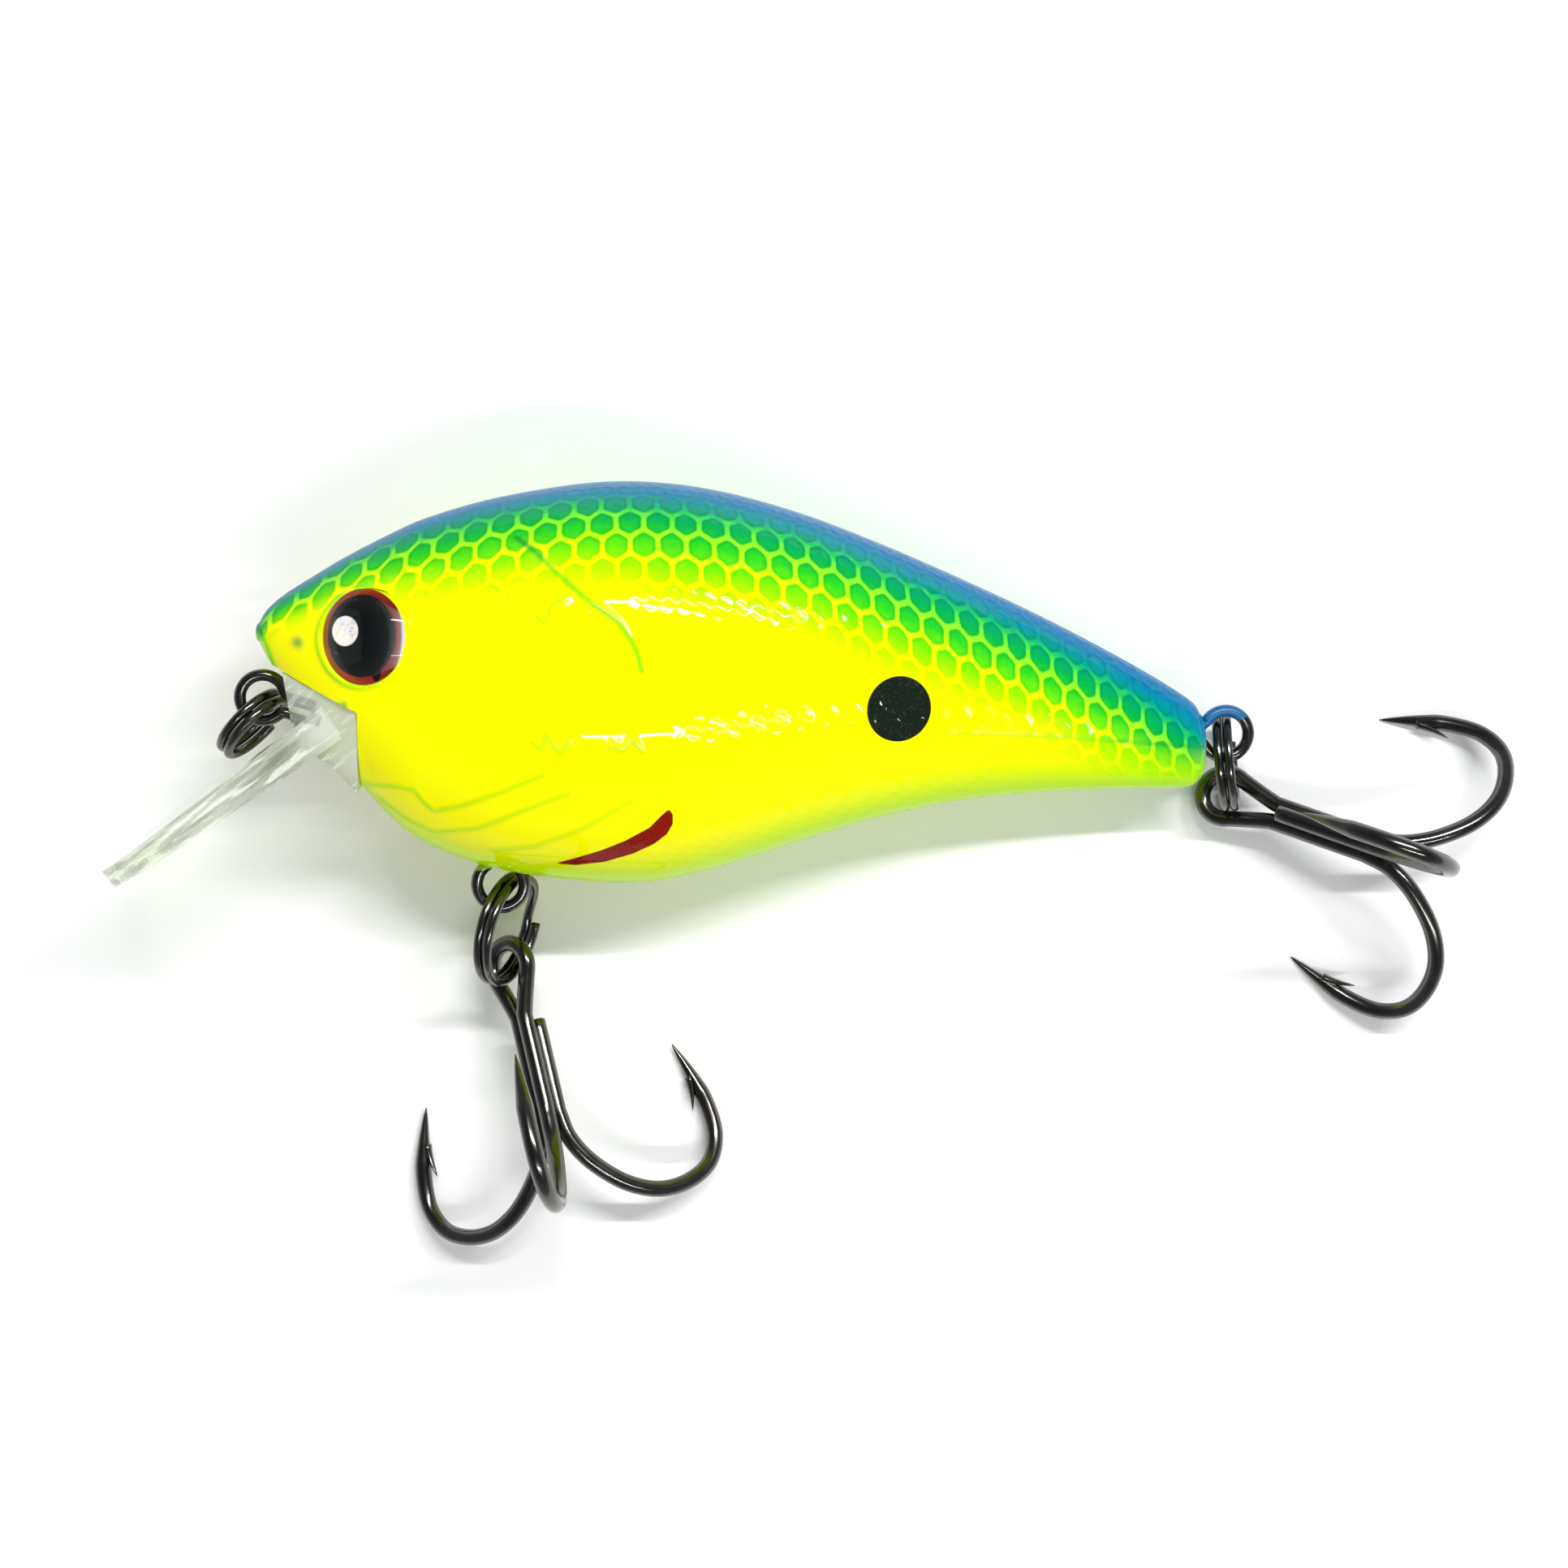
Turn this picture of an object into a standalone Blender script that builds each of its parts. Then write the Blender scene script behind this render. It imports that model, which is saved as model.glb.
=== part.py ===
"""Crankbait lure with two treble hooks, lying on its right side.

Metres, +Z up. The nose points to -X, the back to +Y, and the lure's left flank faces up.
The body rests on its widest point, so its tail and belly lie a few degrees low.
The origin is on the surface that the lure lies on, under the middle of the whole outline.
Inside this file lengths are in millimetres, and build_mesh() turns them into metres.
"""
import math

import bmesh
import bpy
import numpy as np
from mathutils import Matrix, Vector

MM = 0.001

# ---- Driving dimensions, in millimetres and degrees ----
NOSE = (-32.64, 14.22, 10.88)   # nose tip
LEAN = 5.0              # the tail lies lower than the nose by this angle
ROLL = 8.0              # the belly lies lower than the back by this angle
SEAM = 0.05             # each shell stops this far from the plane of symmetry
FIT = 0.06              # gap round a piece that is set into another

# Body outline by stations: distance behind the nose, top, bottom, half width.
BODY_STATIONS = (
    (0.0, 0.34, -0.74, 0.75),
    (0.48, 1.13, -1.67, 1.60),
    (1.45, 1.98, -3.35, 2.50),
    (2.9, 2.92, -5.53, 3.55),
    (4.85, 4.11, -7.92, 4.80),
    (7.4, 5.46, -10.87, 6.00),
    (9.75, 6.51, -12.58, 6.90),
    (13.7, 7.67, -14.00, 7.95),
    (18.7, 8.53, -14.73, 8.40),
    (22.65, 8.64, -14.74, 8.35),
    (26.65, 8.14, -13.89, 7.95),
    (31.2, 6.95, -12.42, 7.10),
    (35.75, 5.29, -11.05, 6.00),
    (40.85, 3.16, -9.98, 4.80),
    (46.0, 0.82, -9.47, 3.75),
    (51.15, -1.81, -9.27, 2.80),
    (54.6, -3.84, -9.22, 2.20),
    (55.35, -4.71, -8.86, 1.75),
)
BODY_ROUNDNESS = 2.1    # exponent of the cross section, 2 is an ellipse
BODY_RINGS = 34         # cross sections along the body
BODY_SIDES = 12         # faces round one half
WALL = 1.3
CAVITY = (9.0, 49.0)    # the hollow runs between these distances behind the nose

THROAT_U = 5.9          # wall behind the lip
THROAT_TOP = -4.3
NOSE_CUT = -1.54        # height where the underside of the head would reach u = 0

EYE_U, EYE_V = 6.24, 0.0
EYE_TURN = 28.0         # the eyes look forward by this angle
EYE_LIFT = 6.0          # and up by this one
EYE_RADIUS = 2.7
EYE_DEPTH = 1.35
DISC_THICK = 0.3
DOME_RISE = 0.95        # height of the dome's cap
DOME_RIM = 0.75         # straight rim under the cap

LIP_ROOT = (3.8, -4.08)     # top surface of the lip where it leaves the body
LIP_ANGLE = 37.4            # below the body's axis
LIP_LENGTH = 16.15
LIP_THICK_ROOT, LIP_THICK_TIP = 2.1, 1.1
LIP_HALF_ROOT = 5.2
LIP_HALF_WIDE = 6.7
LIP_WIDE_AT = 9.4           # distance from the root where it is widest
LIP_SQUARENESS = 2.6
TONGUE = (4.0, 10.6, -8.3, -6.4, 2.2)   # from, to, bottom, top, half width

TIE_EYE = (0.14, -4.0)
TIE_RADIUS, TIE_WIRE = 1.32, 0.35
BELLY_EYE = (13.82, -15.02)
TAIL_EYE = (57.05, -6.02)
HANGER_RADIUS, HANGER_WIRE = 1.40, 0.36
HANGER_PITCH = 4.3          # outer eye to inner eye
HANGER_WAIST = 0.62         # half the gap between the two wires of the waist
PIN_RADIUS = 0.6            # pins of the left shell, through the hangers' inner eyes
PIN_LENGTH = 1.2
BOSS_RADIUS = 2.6           # solid plastic round the belly hanger's inner eye

RING_WIRE = 0.28
TIE_LEG = 3.4               # from the eye's middle to the end of its legs
TIE_LEG_GAP = 1.04
RING_PITCH = 0.60           # from one coil to the other
RING_JOG = 30.0             # half of the stretch where the coil changes side

# Where each treble lies on the table: its eye's end from its hanger's eye, its heading
# (0 is -Y, 90 is +X), and how steeply its shank rises to the bends.
BELLY_TREBLE = ((-0.08, -3.37, -4.45), 14.5, 12.0)
TAIL_TREBLE = ((-1.13, -3.09, -3.77), 69.5, 21.2)
# Each split ring: its middle from its wire eye, its axis by bearing and lean, and its
# radius to the middle of the wire.
TIE_RING = ((-0.87, -1.47, -1.41), -44.0, 5.5, 2.2)
BELLY_RING = ((0.22, -2.75, -1.93), -14.0, 18.5, 3.2)
TAIL_RING = ((0.38, -1.56, -1.96), 5.0, 12.0, 2.85)
BELLY_EYE_TURN = -25.0      # twist of the treble's eye against its hooks

HOOK_WIRE = 0.5
SHANK_OFFSET = 0.63         # each shank wire from the treble's axis
TREBLE_EYE_RADIUS = 1.42
TREBLE_EYE_AT = 1.85        # eye centre from the treble's end
SHANK_CLOSED_AT = 5.0       # the wires lie together from here
SINGLE_STARTS_AT = 5.4
# A hook's wire in its own plane: distance along the shank, distance from the axis.
HOOK_CURVE = (
    (11.0, 0.63), (12.7, 0.96), (14.4, 2.04), (16.0, 3.9), (16.8, 5.95),
    (16.7, 7.95), (15.87, 9.6), (14.3, 10.45), (12.35, 10.4), (10.4, 9.85), (8.3, 9.05),
)
POINT_TAPER = 3.4           # length of the sharpened point
BARB_BACK = (2.3, 3.9)      # barb's root and tip, behind the point
BARB_RISE = 1.02            # barb's tip from the middle of the wire

BALLAST = (21.4, -10.5)
BALLAST_RADIUS, BALLAST_LENGTH = 2.1, 8.0
RATTLES = (("rattle_ball_front", 16.5, -1.2), ("rattle_ball_rear", 31.0, -2.6))
RATTLE_RADIUS = 1.6
CHAMBER_RADIUS = 1.85
CHAMBER_WALL = 0.8
RATTLE_TRAVEL = 5.6


# ---- Frame ----
LYING = (Matrix.Rotation(math.radians(LEAN), 3, "Y")
         @ Matrix.Rotation(math.radians(ROLL), 3, "X"))
LEFT = LYING @ Vector((0.0, 0.0, 1.0))      # square to the plane of symmetry


def at(u, v, w=0.0):
    """Point at u behind the nose, v above it and w to the left of the middle."""
    return Vector(NOSE) + LYING @ Vector((u, v, w))


def flat_heading(degrees):
    """Direction along the table: 0 is -Y, 90 is +X."""
    turn = math.radians(degrees)
    return Vector((math.sin(turn), -math.cos(turn), 0.0))


def heading(degrees):
    """Direction in the plane of symmetry: 0 is to the belly, 90 to the tail."""
    return LYING @ flat_heading(degrees)


# ---- Scene and meshes ----
def clear_scene():
    for old in list(bpy.data.objects):
        bpy.data.objects.remove(old, do_unlink=True)


def material(name, colour, roughness, metallic=0.0, clear=0.0):
    made = bpy.data.materials.new(name)
    made.use_nodes = True
    shader = made.node_tree.nodes["Principled BSDF"]
    shader.inputs["Base Color"].default_value = (*colour, 1.0)
    shader.inputs["Roughness"].default_value = roughness
    shader.inputs["Metallic"].default_value = metallic
    shader.inputs["Transmission Weight"].default_value = clear
    return made


def build_mesh(name, points, faces, origin=None, smooth=True):
    """Object from points in millimetres, with its origin on the given point."""
    base = Vector(origin) if origin is not None else Vector((0.0, 0.0, 0.0))
    mesh = bpy.data.meshes.new(name)
    mesh.from_pydata([tuple((Vector(p) - base) * MM) for p in points], [], faces)
    tidy = bmesh.new()
    tidy.from_mesh(mesh)
    bmesh.ops.recalc_face_normals(tidy, faces=tidy.faces)
    tidy.to_mesh(mesh)
    tidy.free()
    if smooth:
        mesh.shade_smooth()
        mesh.set_sharp_from_angle(angle=math.radians(40.0))
    made = bpy.data.objects.new(name, mesh)
    made.location = base * MM
    bpy.context.scene.collection.objects.link(made)
    return made


def finish_with(piece, look):
    piece.data.materials.clear()
    piece.data.materials.append(look)
    return piece


def as_tool(piece):
    piece.hide_render = True
    piece.display_type = "WIRE"
    return piece


def combine(target, tool, operation):
    step = target.modifiers.new(operation.title() + " " + tool.name, "BOOLEAN")
    step.operation = operation
    step.solver = "EXACT"
    step.object = as_tool(tool)


def cut(target, *tools):
    for tool in tools:
        combine(target, tool, "DIFFERENCE")


def fuse(target, *tools):
    for tool in tools:
        combine(target, tool, "UNION")


# ---- Shapes ----
def grid_faces(rows, columns, wrap_columns, wrap_rows=False):
    faces = []
    for row in range(rows if wrap_rows else rows - 1):
        for column in range(columns if wrap_columns else columns - 1):
            below, beside = (row + 1) % rows, (column + 1) % columns
            faces.append((row * columns + column, row * columns + beside,
                          below * columns + beside, below * columns + column))
    return faces


def spline(knots, steps):
    """Smooth curve through the knots, with the given number of points a span."""
    knots = [np.array(k, float) for k in knots]
    ends = [2 * knots[0] - knots[1]] + knots + [2 * knots[-1] - knots[-2]]
    curve = []
    for i in range(1, len(ends) - 2):
        before, start, stop, after = ends[i - 1], ends[i], ends[i + 1], ends[i + 2]
        for t in np.linspace(0.0, 1.0, steps, endpoint=False):
            curve.append(0.5 * (2 * start + (stop - before) * t
                                + (2 * before - 5 * start + 4 * stop - after) * t ** 2
                                + (3 * start - before - 3 * stop + after) * t ** 3))
    return curve + [knots[-1]]


def sweep(name, path, radius, closed=False, sides=8, origin=None):
    """Round wire along a path. radius is one number or one for each point."""
    path = [Vector(p) for p in path]
    count = len(path)
    radii = radius if isinstance(radius, (list, tuple)) else [radius] * count
    tangents = []
    for i in range(count):
        ahead = path[(i + 1) % count] if closed else path[min(i + 1, count - 1)]
        behind = path[i - 1] if closed or i > 0 else path[0]
        tangents.append((ahead - behind).normalized())
    normal = tangents[0].orthogonal().normalized()
    normals = [normal]
    for i in range(1, count):
        normal = tangents[i - 1].rotation_difference(tangents[i]) @ normal
        normals.append((normal - tangents[i] * normal.dot(tangents[i])).normalized())
    twist = 0.0
    if closed:
        back = tangents[-1].rotation_difference(tangents[0]) @ normals[-1]
        twist = math.atan2(back.cross(normals[0]).dot(tangents[0]), back.dot(normals[0]))
    points = []
    for i in range(count):
        turned = Matrix.Rotation(twist * i / count, 3, tangents[i]) @ normals[i]
        side = tangents[i].cross(turned)
        for k in range(sides):
            angle = 2 * math.pi * k / sides
            points.append(path[i] + radii[i] * (turned * math.cos(angle) + side * math.sin(angle)))
    faces = grid_faces(count, sides, True, closed)
    if not closed:
        faces.append(tuple(range(sides)))
        faces.append(tuple(range((count - 1) * sides, count * sides)))
    return build_mesh(name, points, faces, origin)


def turned(name, profile, centre, axis, sides=24, origin=None):
    """Solid of revolution. profile is (distance along the axis, radius) pairs."""
    axis = Vector(axis).normalized()
    side = axis.orthogonal().normalized()
    other = axis.cross(side)
    points, rows = [], []
    for along, radius in profile:
        if radius < 1e-6:
            rows.append([len(points)] * sides)
            points.append(centre + axis * along)
            continue
        rows.append(list(range(len(points), len(points) + sides)))
        for k in range(sides):
            angle = 2 * math.pi * k / sides
            points.append(centre + axis * along
                          + radius * (side * math.cos(angle) + other * math.sin(angle)))
    faces = []
    for upper, lower in zip(rows, rows[1:]):
        for k in range(sides):
            ring = (upper[k], upper[(k + 1) % sides], lower[(k + 1) % sides], lower[k])
            faces.append(tuple(dict.fromkeys(ring)))
    for end in (rows[0], rows[-1]):
        if len(set(end)) > 1:
            faces.append(tuple(end))
    return build_mesh(name, points, faces, origin)


def rod(name, start, stop, radius, sides=16):
    return turned(name, ((0.0, radius), ((stop - start).length, radius)), start,
                  stop - start, sides)


def prism(name, outline, half_widths):
    """Outline of (u, v) pairs, widened to each side by its own half width."""
    count = len(outline)
    points = [at(u, v, side * half)
              for side in (-1, 1) for (u, v), half in zip(outline, half_widths)]
    faces = [tuple(range(count)), tuple(range(count, 2 * count))]
    for k in range(count):
        after = (k + 1) % count
        faces.append((k, after, count + after, count + k))
    return build_mesh(name, points, faces, smooth=False)


# ---- Body ----
def body_station(u):
    """Top, bottom and half width of the body at a distance behind the nose."""
    table = np.array(BODY_STATIONS)
    curve = np.array(spline(table, 12))
    return [float(np.interp(u, curve[:, 0], curve[:, k])) for k in (1, 2, 3)]


def half_section(u, side, inset):
    """Points of one half of a cross section, from the back to the belly."""
    top, bottom, half = body_station(u)
    middle, reach = (top + bottom) / 2, (top - bottom) / 2 - inset
    half -= inset
    points = []
    for k in range(BODY_SIDES + 1):
        angle = math.pi / 2 - math.pi * k / BODY_SIDES
        rise = math.copysign(abs(math.sin(angle)) ** (2 / BODY_ROUNDNESS), math.sin(angle))
        out = abs(math.cos(angle)) ** (2 / BODY_ROUNDNESS)
        if k in (0, BODY_SIDES):
            out = 0.0
        points.append(at(u, middle + reach * rise, side * (SEAM + half * out)))
    return points


def half_body(name, side, stations, inset=0.0, past_seam=0.0):
    """Closed solid of one half of the body, optionally grown past the seam."""
    points = []
    for u in stations:
        section = half_section(u, side, inset)
        inner = [section[0].copy(), section[-1].copy()]
        for corner in inner:
            corner -= LEFT * side * past_seam
        if past_seam:
            section = [inner[0]] + section + [inner[1]]
        points.extend(section)
    columns = len(points) // len(stations)
    faces = grid_faces(len(stations), columns, True)
    faces.append(tuple(range(columns)))
    faces.append(tuple(range(len(points) - columns, len(points))))
    return build_mesh(name, points, faces)


def body_stations():
    """Distances behind the nose, close together where the nose rounds off."""
    first, last = BODY_STATIONS[0][0], BODY_STATIONS[-1][0]
    steps = np.linspace(0.0, 1.0, BODY_RINGS)
    stations = first + (last - first) * steps ** 1.35
    stations[-2] = BODY_STATIONS[-2][0]
    return [float(u) for u in stations]


def eye_frame(side):
    """Point on the skin under the eye's middle, and the way that the eye looks."""
    top, bottom, half = body_station(EYE_U)
    rise = (EYE_V - (top + bottom) / 2) / ((top - bottom) / 2)
    out = (1 - abs(rise) ** BODY_ROUNDNESS) ** (1 / BODY_ROUNDNESS)
    turn, lift = math.radians(EYE_TURN), math.radians(EYE_LIFT)
    look = Vector((-math.sin(turn) * math.cos(lift), math.sin(lift),
                   side * math.cos(turn) * math.cos(lift)))
    return at(EYE_U, EYE_V, side * (SEAM + half * out)), LYING @ look


def hanger_inner(eye, direction):
    return at(*eye) + direction * HANGER_PITCH


def body_shell(name, side, look):
    """One moulded half, with its hollow, chamber walls, pins and pockets."""
    label = name.split("_")[0]
    shell = half_body(name, side, body_stations())
    hollow = half_body(label + "_hollow", side,
                       [float(u) for u in np.linspace(*CAVITY, 18)], WALL, 0.5)
    for chamber, u, v in RATTLES:
        wall = rod(label + "_wall_" + chamber, at(u, v, -side * 1.0), at(u, v, side * 12.0),
                   CHAMBER_RADIUS + CHAMBER_WALL)
        cut(hollow, wall)
    belly_inner = hanger_inner(BELLY_EYE, -heading(0.0))
    boss = rod(label + "_boss", belly_inner - LEFT * side, belly_inner + LEFT * side * 12.0,
               BOSS_RADIUS)
    cut(hollow, boss)
    cut(shell, hollow)
    for chamber, u, v in RATTLES:
        cut(shell, rod(label + "_bore_" + chamber, at(u, v, -side * 1.0),
                       at(u, v, side * (RATTLE_TRAVEL / 2 + RATTLE_RADIUS + 0.25)),
                       CHAMBER_RADIUS))
    throat = ((-3.0, NOSE_CUT + 3.0 * (NOSE_CUT - THROAT_TOP) / THROAT_U),
              (THROAT_U, THROAT_TOP), (THROAT_U, -20.0), (-3.0, -20.0))
    cut(shell, prism(label + "_throat", throat, (12.0,) * 4))
    cut(shell, tongue(label + "_tongue_slot", FIT))
    spot, gaze = eye_frame(side)
    cut(shell, rod(label + "_eye_pocket", spot - gaze * EYE_DEPTH, spot + gaze * 4.0,
                   EYE_RADIUS + FIT, 32))
    cut(shell, hanger(label + "_belly_groove", BELLY_EYE, -heading(0.0), FIT))
    cut(shell, hanger(label + "_tail_groove", TAIL_EYE, -heading(90.0), FIT))
    for spot in (belly_inner, hanger_inner(TAIL_EYE, -heading(90.0))):
        if side > 0:
            fuse(shell, rod(label + "_pin", spot + LEFT, spot - LEFT * PIN_LENGTH,
                            PIN_RADIUS, 12))
        else:
            cut(shell, rod(label + "_socket", spot + LEFT, spot - LEFT * (PIN_LENGTH + FIT),
                           PIN_RADIUS + FIT, 12))
    return finish_with(shell, look)


def eye(label, side, disc_look, dome_look):
    """Foil disc at the bottom of the pocket, and the clear dome over it."""
    spot, gaze = eye_frame(side)
    seat = spot - gaze * (EYE_DEPTH - FIT)
    radius = EYE_RADIUS
    disc = turned(label + "_eye_disc", ((0.0, radius), (DISC_THICK, radius)), seat, gaze, 28)
    finish_with(disc, disc_look)
    base = seat + gaze * (DISC_THICK + FIT)
    ball = (radius ** 2 + DOME_RISE ** 2) / (2 * DOME_RISE)
    profile = [(0.0, radius)]
    for k in range(5):
        out = radius * math.cos(math.pi / 2 * k / 5)
        profile.append((DOME_RIM + math.sqrt(ball ** 2 - out ** 2) - ball + DOME_RISE, out))
    profile.append((DOME_RIM + DOME_RISE, 0.0))
    finish_with(turned(label + "_eye_dome", profile, base, gaze, 28), dome_look)


# ---- Lip ----
def tongue(name, extra):
    start, stop, bottom, top, half = TONGUE
    outline = ((start, bottom - extra), (stop + extra, bottom - extra),
               (stop + extra, top + extra), (start, top + extra))
    return prism(name, outline, (half + extra,) * 4)


def lip_outline():
    """Distance from the root and half width, along one edge of the paddle."""
    edge = [(0.0, LIP_HALF_ROOT), (LIP_WIDE_AT * 0.5, LIP_HALF_WIDE * 0.93)]
    reach = LIP_LENGTH - LIP_WIDE_AT
    for k in range(9):
        angle = math.pi / 2 * k / 8
        edge.append((LIP_WIDE_AT + reach * math.sin(angle) ** (2 / LIP_SQUARENESS),
                     LIP_HALF_WIDE * math.cos(angle) ** (2 / LIP_SQUARENESS)))
    edge[-1] = (LIP_LENGTH, 0.0)
    return edge


def diving_lip(look):
    """Flat paddle, the block that fills the throat, and the tongue in the body."""
    slope = math.radians(LIP_ANGLE)
    down = LYING @ Vector((-math.cos(slope), -math.sin(slope), 0.0))
    under = LYING @ Vector((math.sin(slope), -math.cos(slope), 0.0))
    edge = lip_outline()
    border = edge + [(s, -half) for s, half in reversed(edge[:-1])]
    root = at(*LIP_ROOT)
    top = [root + down * s + LEFT * half for s, half in border]
    thick = [LIP_THICK_ROOT + (LIP_THICK_TIP - LIP_THICK_ROOT) * s / LIP_LENGTH
             for s, half in border]
    points = top + [p + under * t for p, t in zip(top, thick)]
    count = len(top)
    faces = [tuple(range(count)), tuple(range(count, 2 * count))]
    for k in range(count):
        after = (k + 1) % count
        faces.append((k, after, count + after, count + k))
    lip = build_mesh("diving_lip", points, faces, smooth=False)
    head_slope = (NOSE_CUT - THROAT_TOP) / THROAT_U
    back = THROAT_U - FIT
    roof = [(u, NOSE_CUT - FIT * 1.5 - head_slope * u) for u in (1.5, back)]
    block = (roof[0], roof[1], (back, -9.0), (4.2, -7.3), (2.2, -6.4), (1.9, -4.6))
    fuse(lip, prism("lip_block", block, (2.3, 4.9, 4.4, 4.2, 3.0, 2.4)))
    fuse(lip, tongue("lip_tongue", 0.0))
    cut(lip, line_tie("lip_wire_bore", FIT))
    return finish_with(lip, look)


# ---- Wire eyes ----
def line_tie(name, extra=0.0):
    """Round eye with two legs that run back into the lip's block."""
    centre = at(*TIE_EYE)
    back = heading(75.0)
    side = LEFT.cross(back)
    leg = TIE_LEG_GAP / 2
    opening = math.asin(leg / TIE_RADIUS)
    arc = [centre + TIE_RADIUS * (back * math.cos(a) + side * math.sin(a))
           for a in np.linspace(opening, 2 * math.pi - opening, 22)]
    reach = TIE_LEG + extra
    legs = (reach, reach - 1.2, 2.0, 1.6)
    upper = [centre + back * d + side * leg for d in legs]
    lower = [centre + back * d - side * leg for d in reversed(legs)]
    return sweep(name, upper + arc + lower, TIE_WIRE + extra)


def hanger(name, eye_at, inward, extra=0.0):
    """Wire figure of eight without a crossing: an eye outside, an eye inside."""
    outer = at(*eye_at)
    side = LEFT.cross(inward)
    opening = math.asin(HANGER_WAIST / HANGER_RADIUS)
    angles = np.linspace(opening, 2 * math.pi - opening, 17)
    path = [outer + HANGER_RADIUS * (inward * math.cos(a) + side * math.sin(a)) for a in angles]
    inner = outer + inward * HANGER_PITCH
    path += [inner - HANGER_RADIUS * (inward * math.cos(a) + side * math.sin(a)) for a in angles]
    return sweep(name, path, HANGER_WIRE + extra, closed=True)


# ---- Split rings ----
def split_ring(name, hinge, lie, look):
    """Two flat coils side by side, which change side over a short stretch."""
    offset, bearing, lean, radius = lie
    offset, bearing, lean = Vector(offset), math.radians(bearing), math.radians(lean)
    centre = hinge + offset
    normal = Vector((math.cos(bearing) * math.cos(lean), math.sin(bearing) * math.cos(lean),
                     math.sin(lean)))
    outward = (offset - normal * offset.dot(normal)).normalized()
    across = normal.cross(outward)
    path = []
    for degrees in np.linspace(RING_JOG, 720.0 - RING_JOG, 38):
        change = min(max((degrees - 360.0 + RING_JOG) / (2 * RING_JOG), 0.0), 1.0)
        ease = change * change * (3 - 2 * change) - 0.5
        angle = math.radians(degrees) + math.pi / 2
        path.append(centre + radius * (outward * math.cos(angle) + across * math.sin(angle))
                    + normal * (RING_PITCH * ease))
    return finish_with(sweep(name, path, RING_WIRE, origin=hinge), look)


# ---- Treble hooks ----
def treble_frame(start, degrees, pitch):
    """Matrix from (along the shank, to the side, up) to the frame of the whole."""
    flat = flat_heading(degrees)
    rise = math.radians(pitch)
    along = flat * math.cos(rise) + Vector((0, 0, math.sin(rise)))
    side = Vector((-flat.y, flat.x, 0.0))
    up = along.cross(side)
    frame = Matrix((along, side, up)).transposed().to_4x4()
    frame.translation = start
    return frame


def hook_path(angle, starts_at):
    """One hook's wire, from its shank to its point, at an angle round the axis."""
    out_side, out_up = math.cos(angle), math.sin(angle)
    knots = [(starts_at, SHANK_OFFSET), ((starts_at + HOOK_CURVE[0][0]) / 2, SHANK_OFFSET)]
    curve = knots + spline(HOOK_CURVE, 3)
    return [Vector((a, r * out_side, r * out_up)) for a, r in curve]


def wire_radii(path, tapered_ends):
    """Wire radius along a path that is sharpened to a point at its ends."""
    lengths = [0.0]
    for before, after in zip(path, path[1:]):
        lengths.append(lengths[-1] + (after - before).length)
    total = lengths[-1]
    radii = []
    for here in lengths:
        left = total - here if tapered_ends == 1 else min(here, total - here)
        radii.append(HOOK_WIRE * min(1.0, 0.06 + 0.94 * (left / POINT_TAPER) ** 0.8))
    return radii


def barb(name, angle, frame, hinge):
    """Sliver raised from the inside of the point arm, with its tip to the bend."""
    tip = Vector(HOOK_CURVE[-1])
    arm = (Vector(HOOK_CURVE[-2]) - tip).normalized()
    inward = Vector((-arm.y, arm.x))
    if inward.y > 0:
        inward = -inward
    marks = ((BARB_BACK[0], 0.30, 0.10), (BARB_BACK[0] + 0.5, 0.0, 0.22),
             (BARB_BACK[1] - 0.5, 0.0, 0.16), (BARB_BACK[1] - 0.35, 0.45, 0.10),
             (BARB_BACK[1], BARB_RISE, 0.02))
    cloud = bmesh.new()
    for back, rise, half in marks:
        spot = tip + arm * back + inward * rise
        for w in (-half, half):
            local = Vector((spot.x, spot.y * math.cos(angle) - w * math.sin(angle),
                            spot.y * math.sin(angle) + w * math.cos(angle)))
            cloud.verts.new(frame @ local)
    bmesh.ops.convex_hull(cloud, input=cloud.verts)
    loose = [v for v in cloud.verts if not v.link_faces]
    bmesh.ops.delete(cloud, geom=loose, context="VERTS")
    cloud.verts.index_update()
    points = [v.co.copy() for v in cloud.verts]
    faces = [tuple(v.index for v in f.verts) for f in cloud.faces]
    cloud.free()
    return build_mesh(name, points, faces, hinge, smooth=False)


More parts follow.
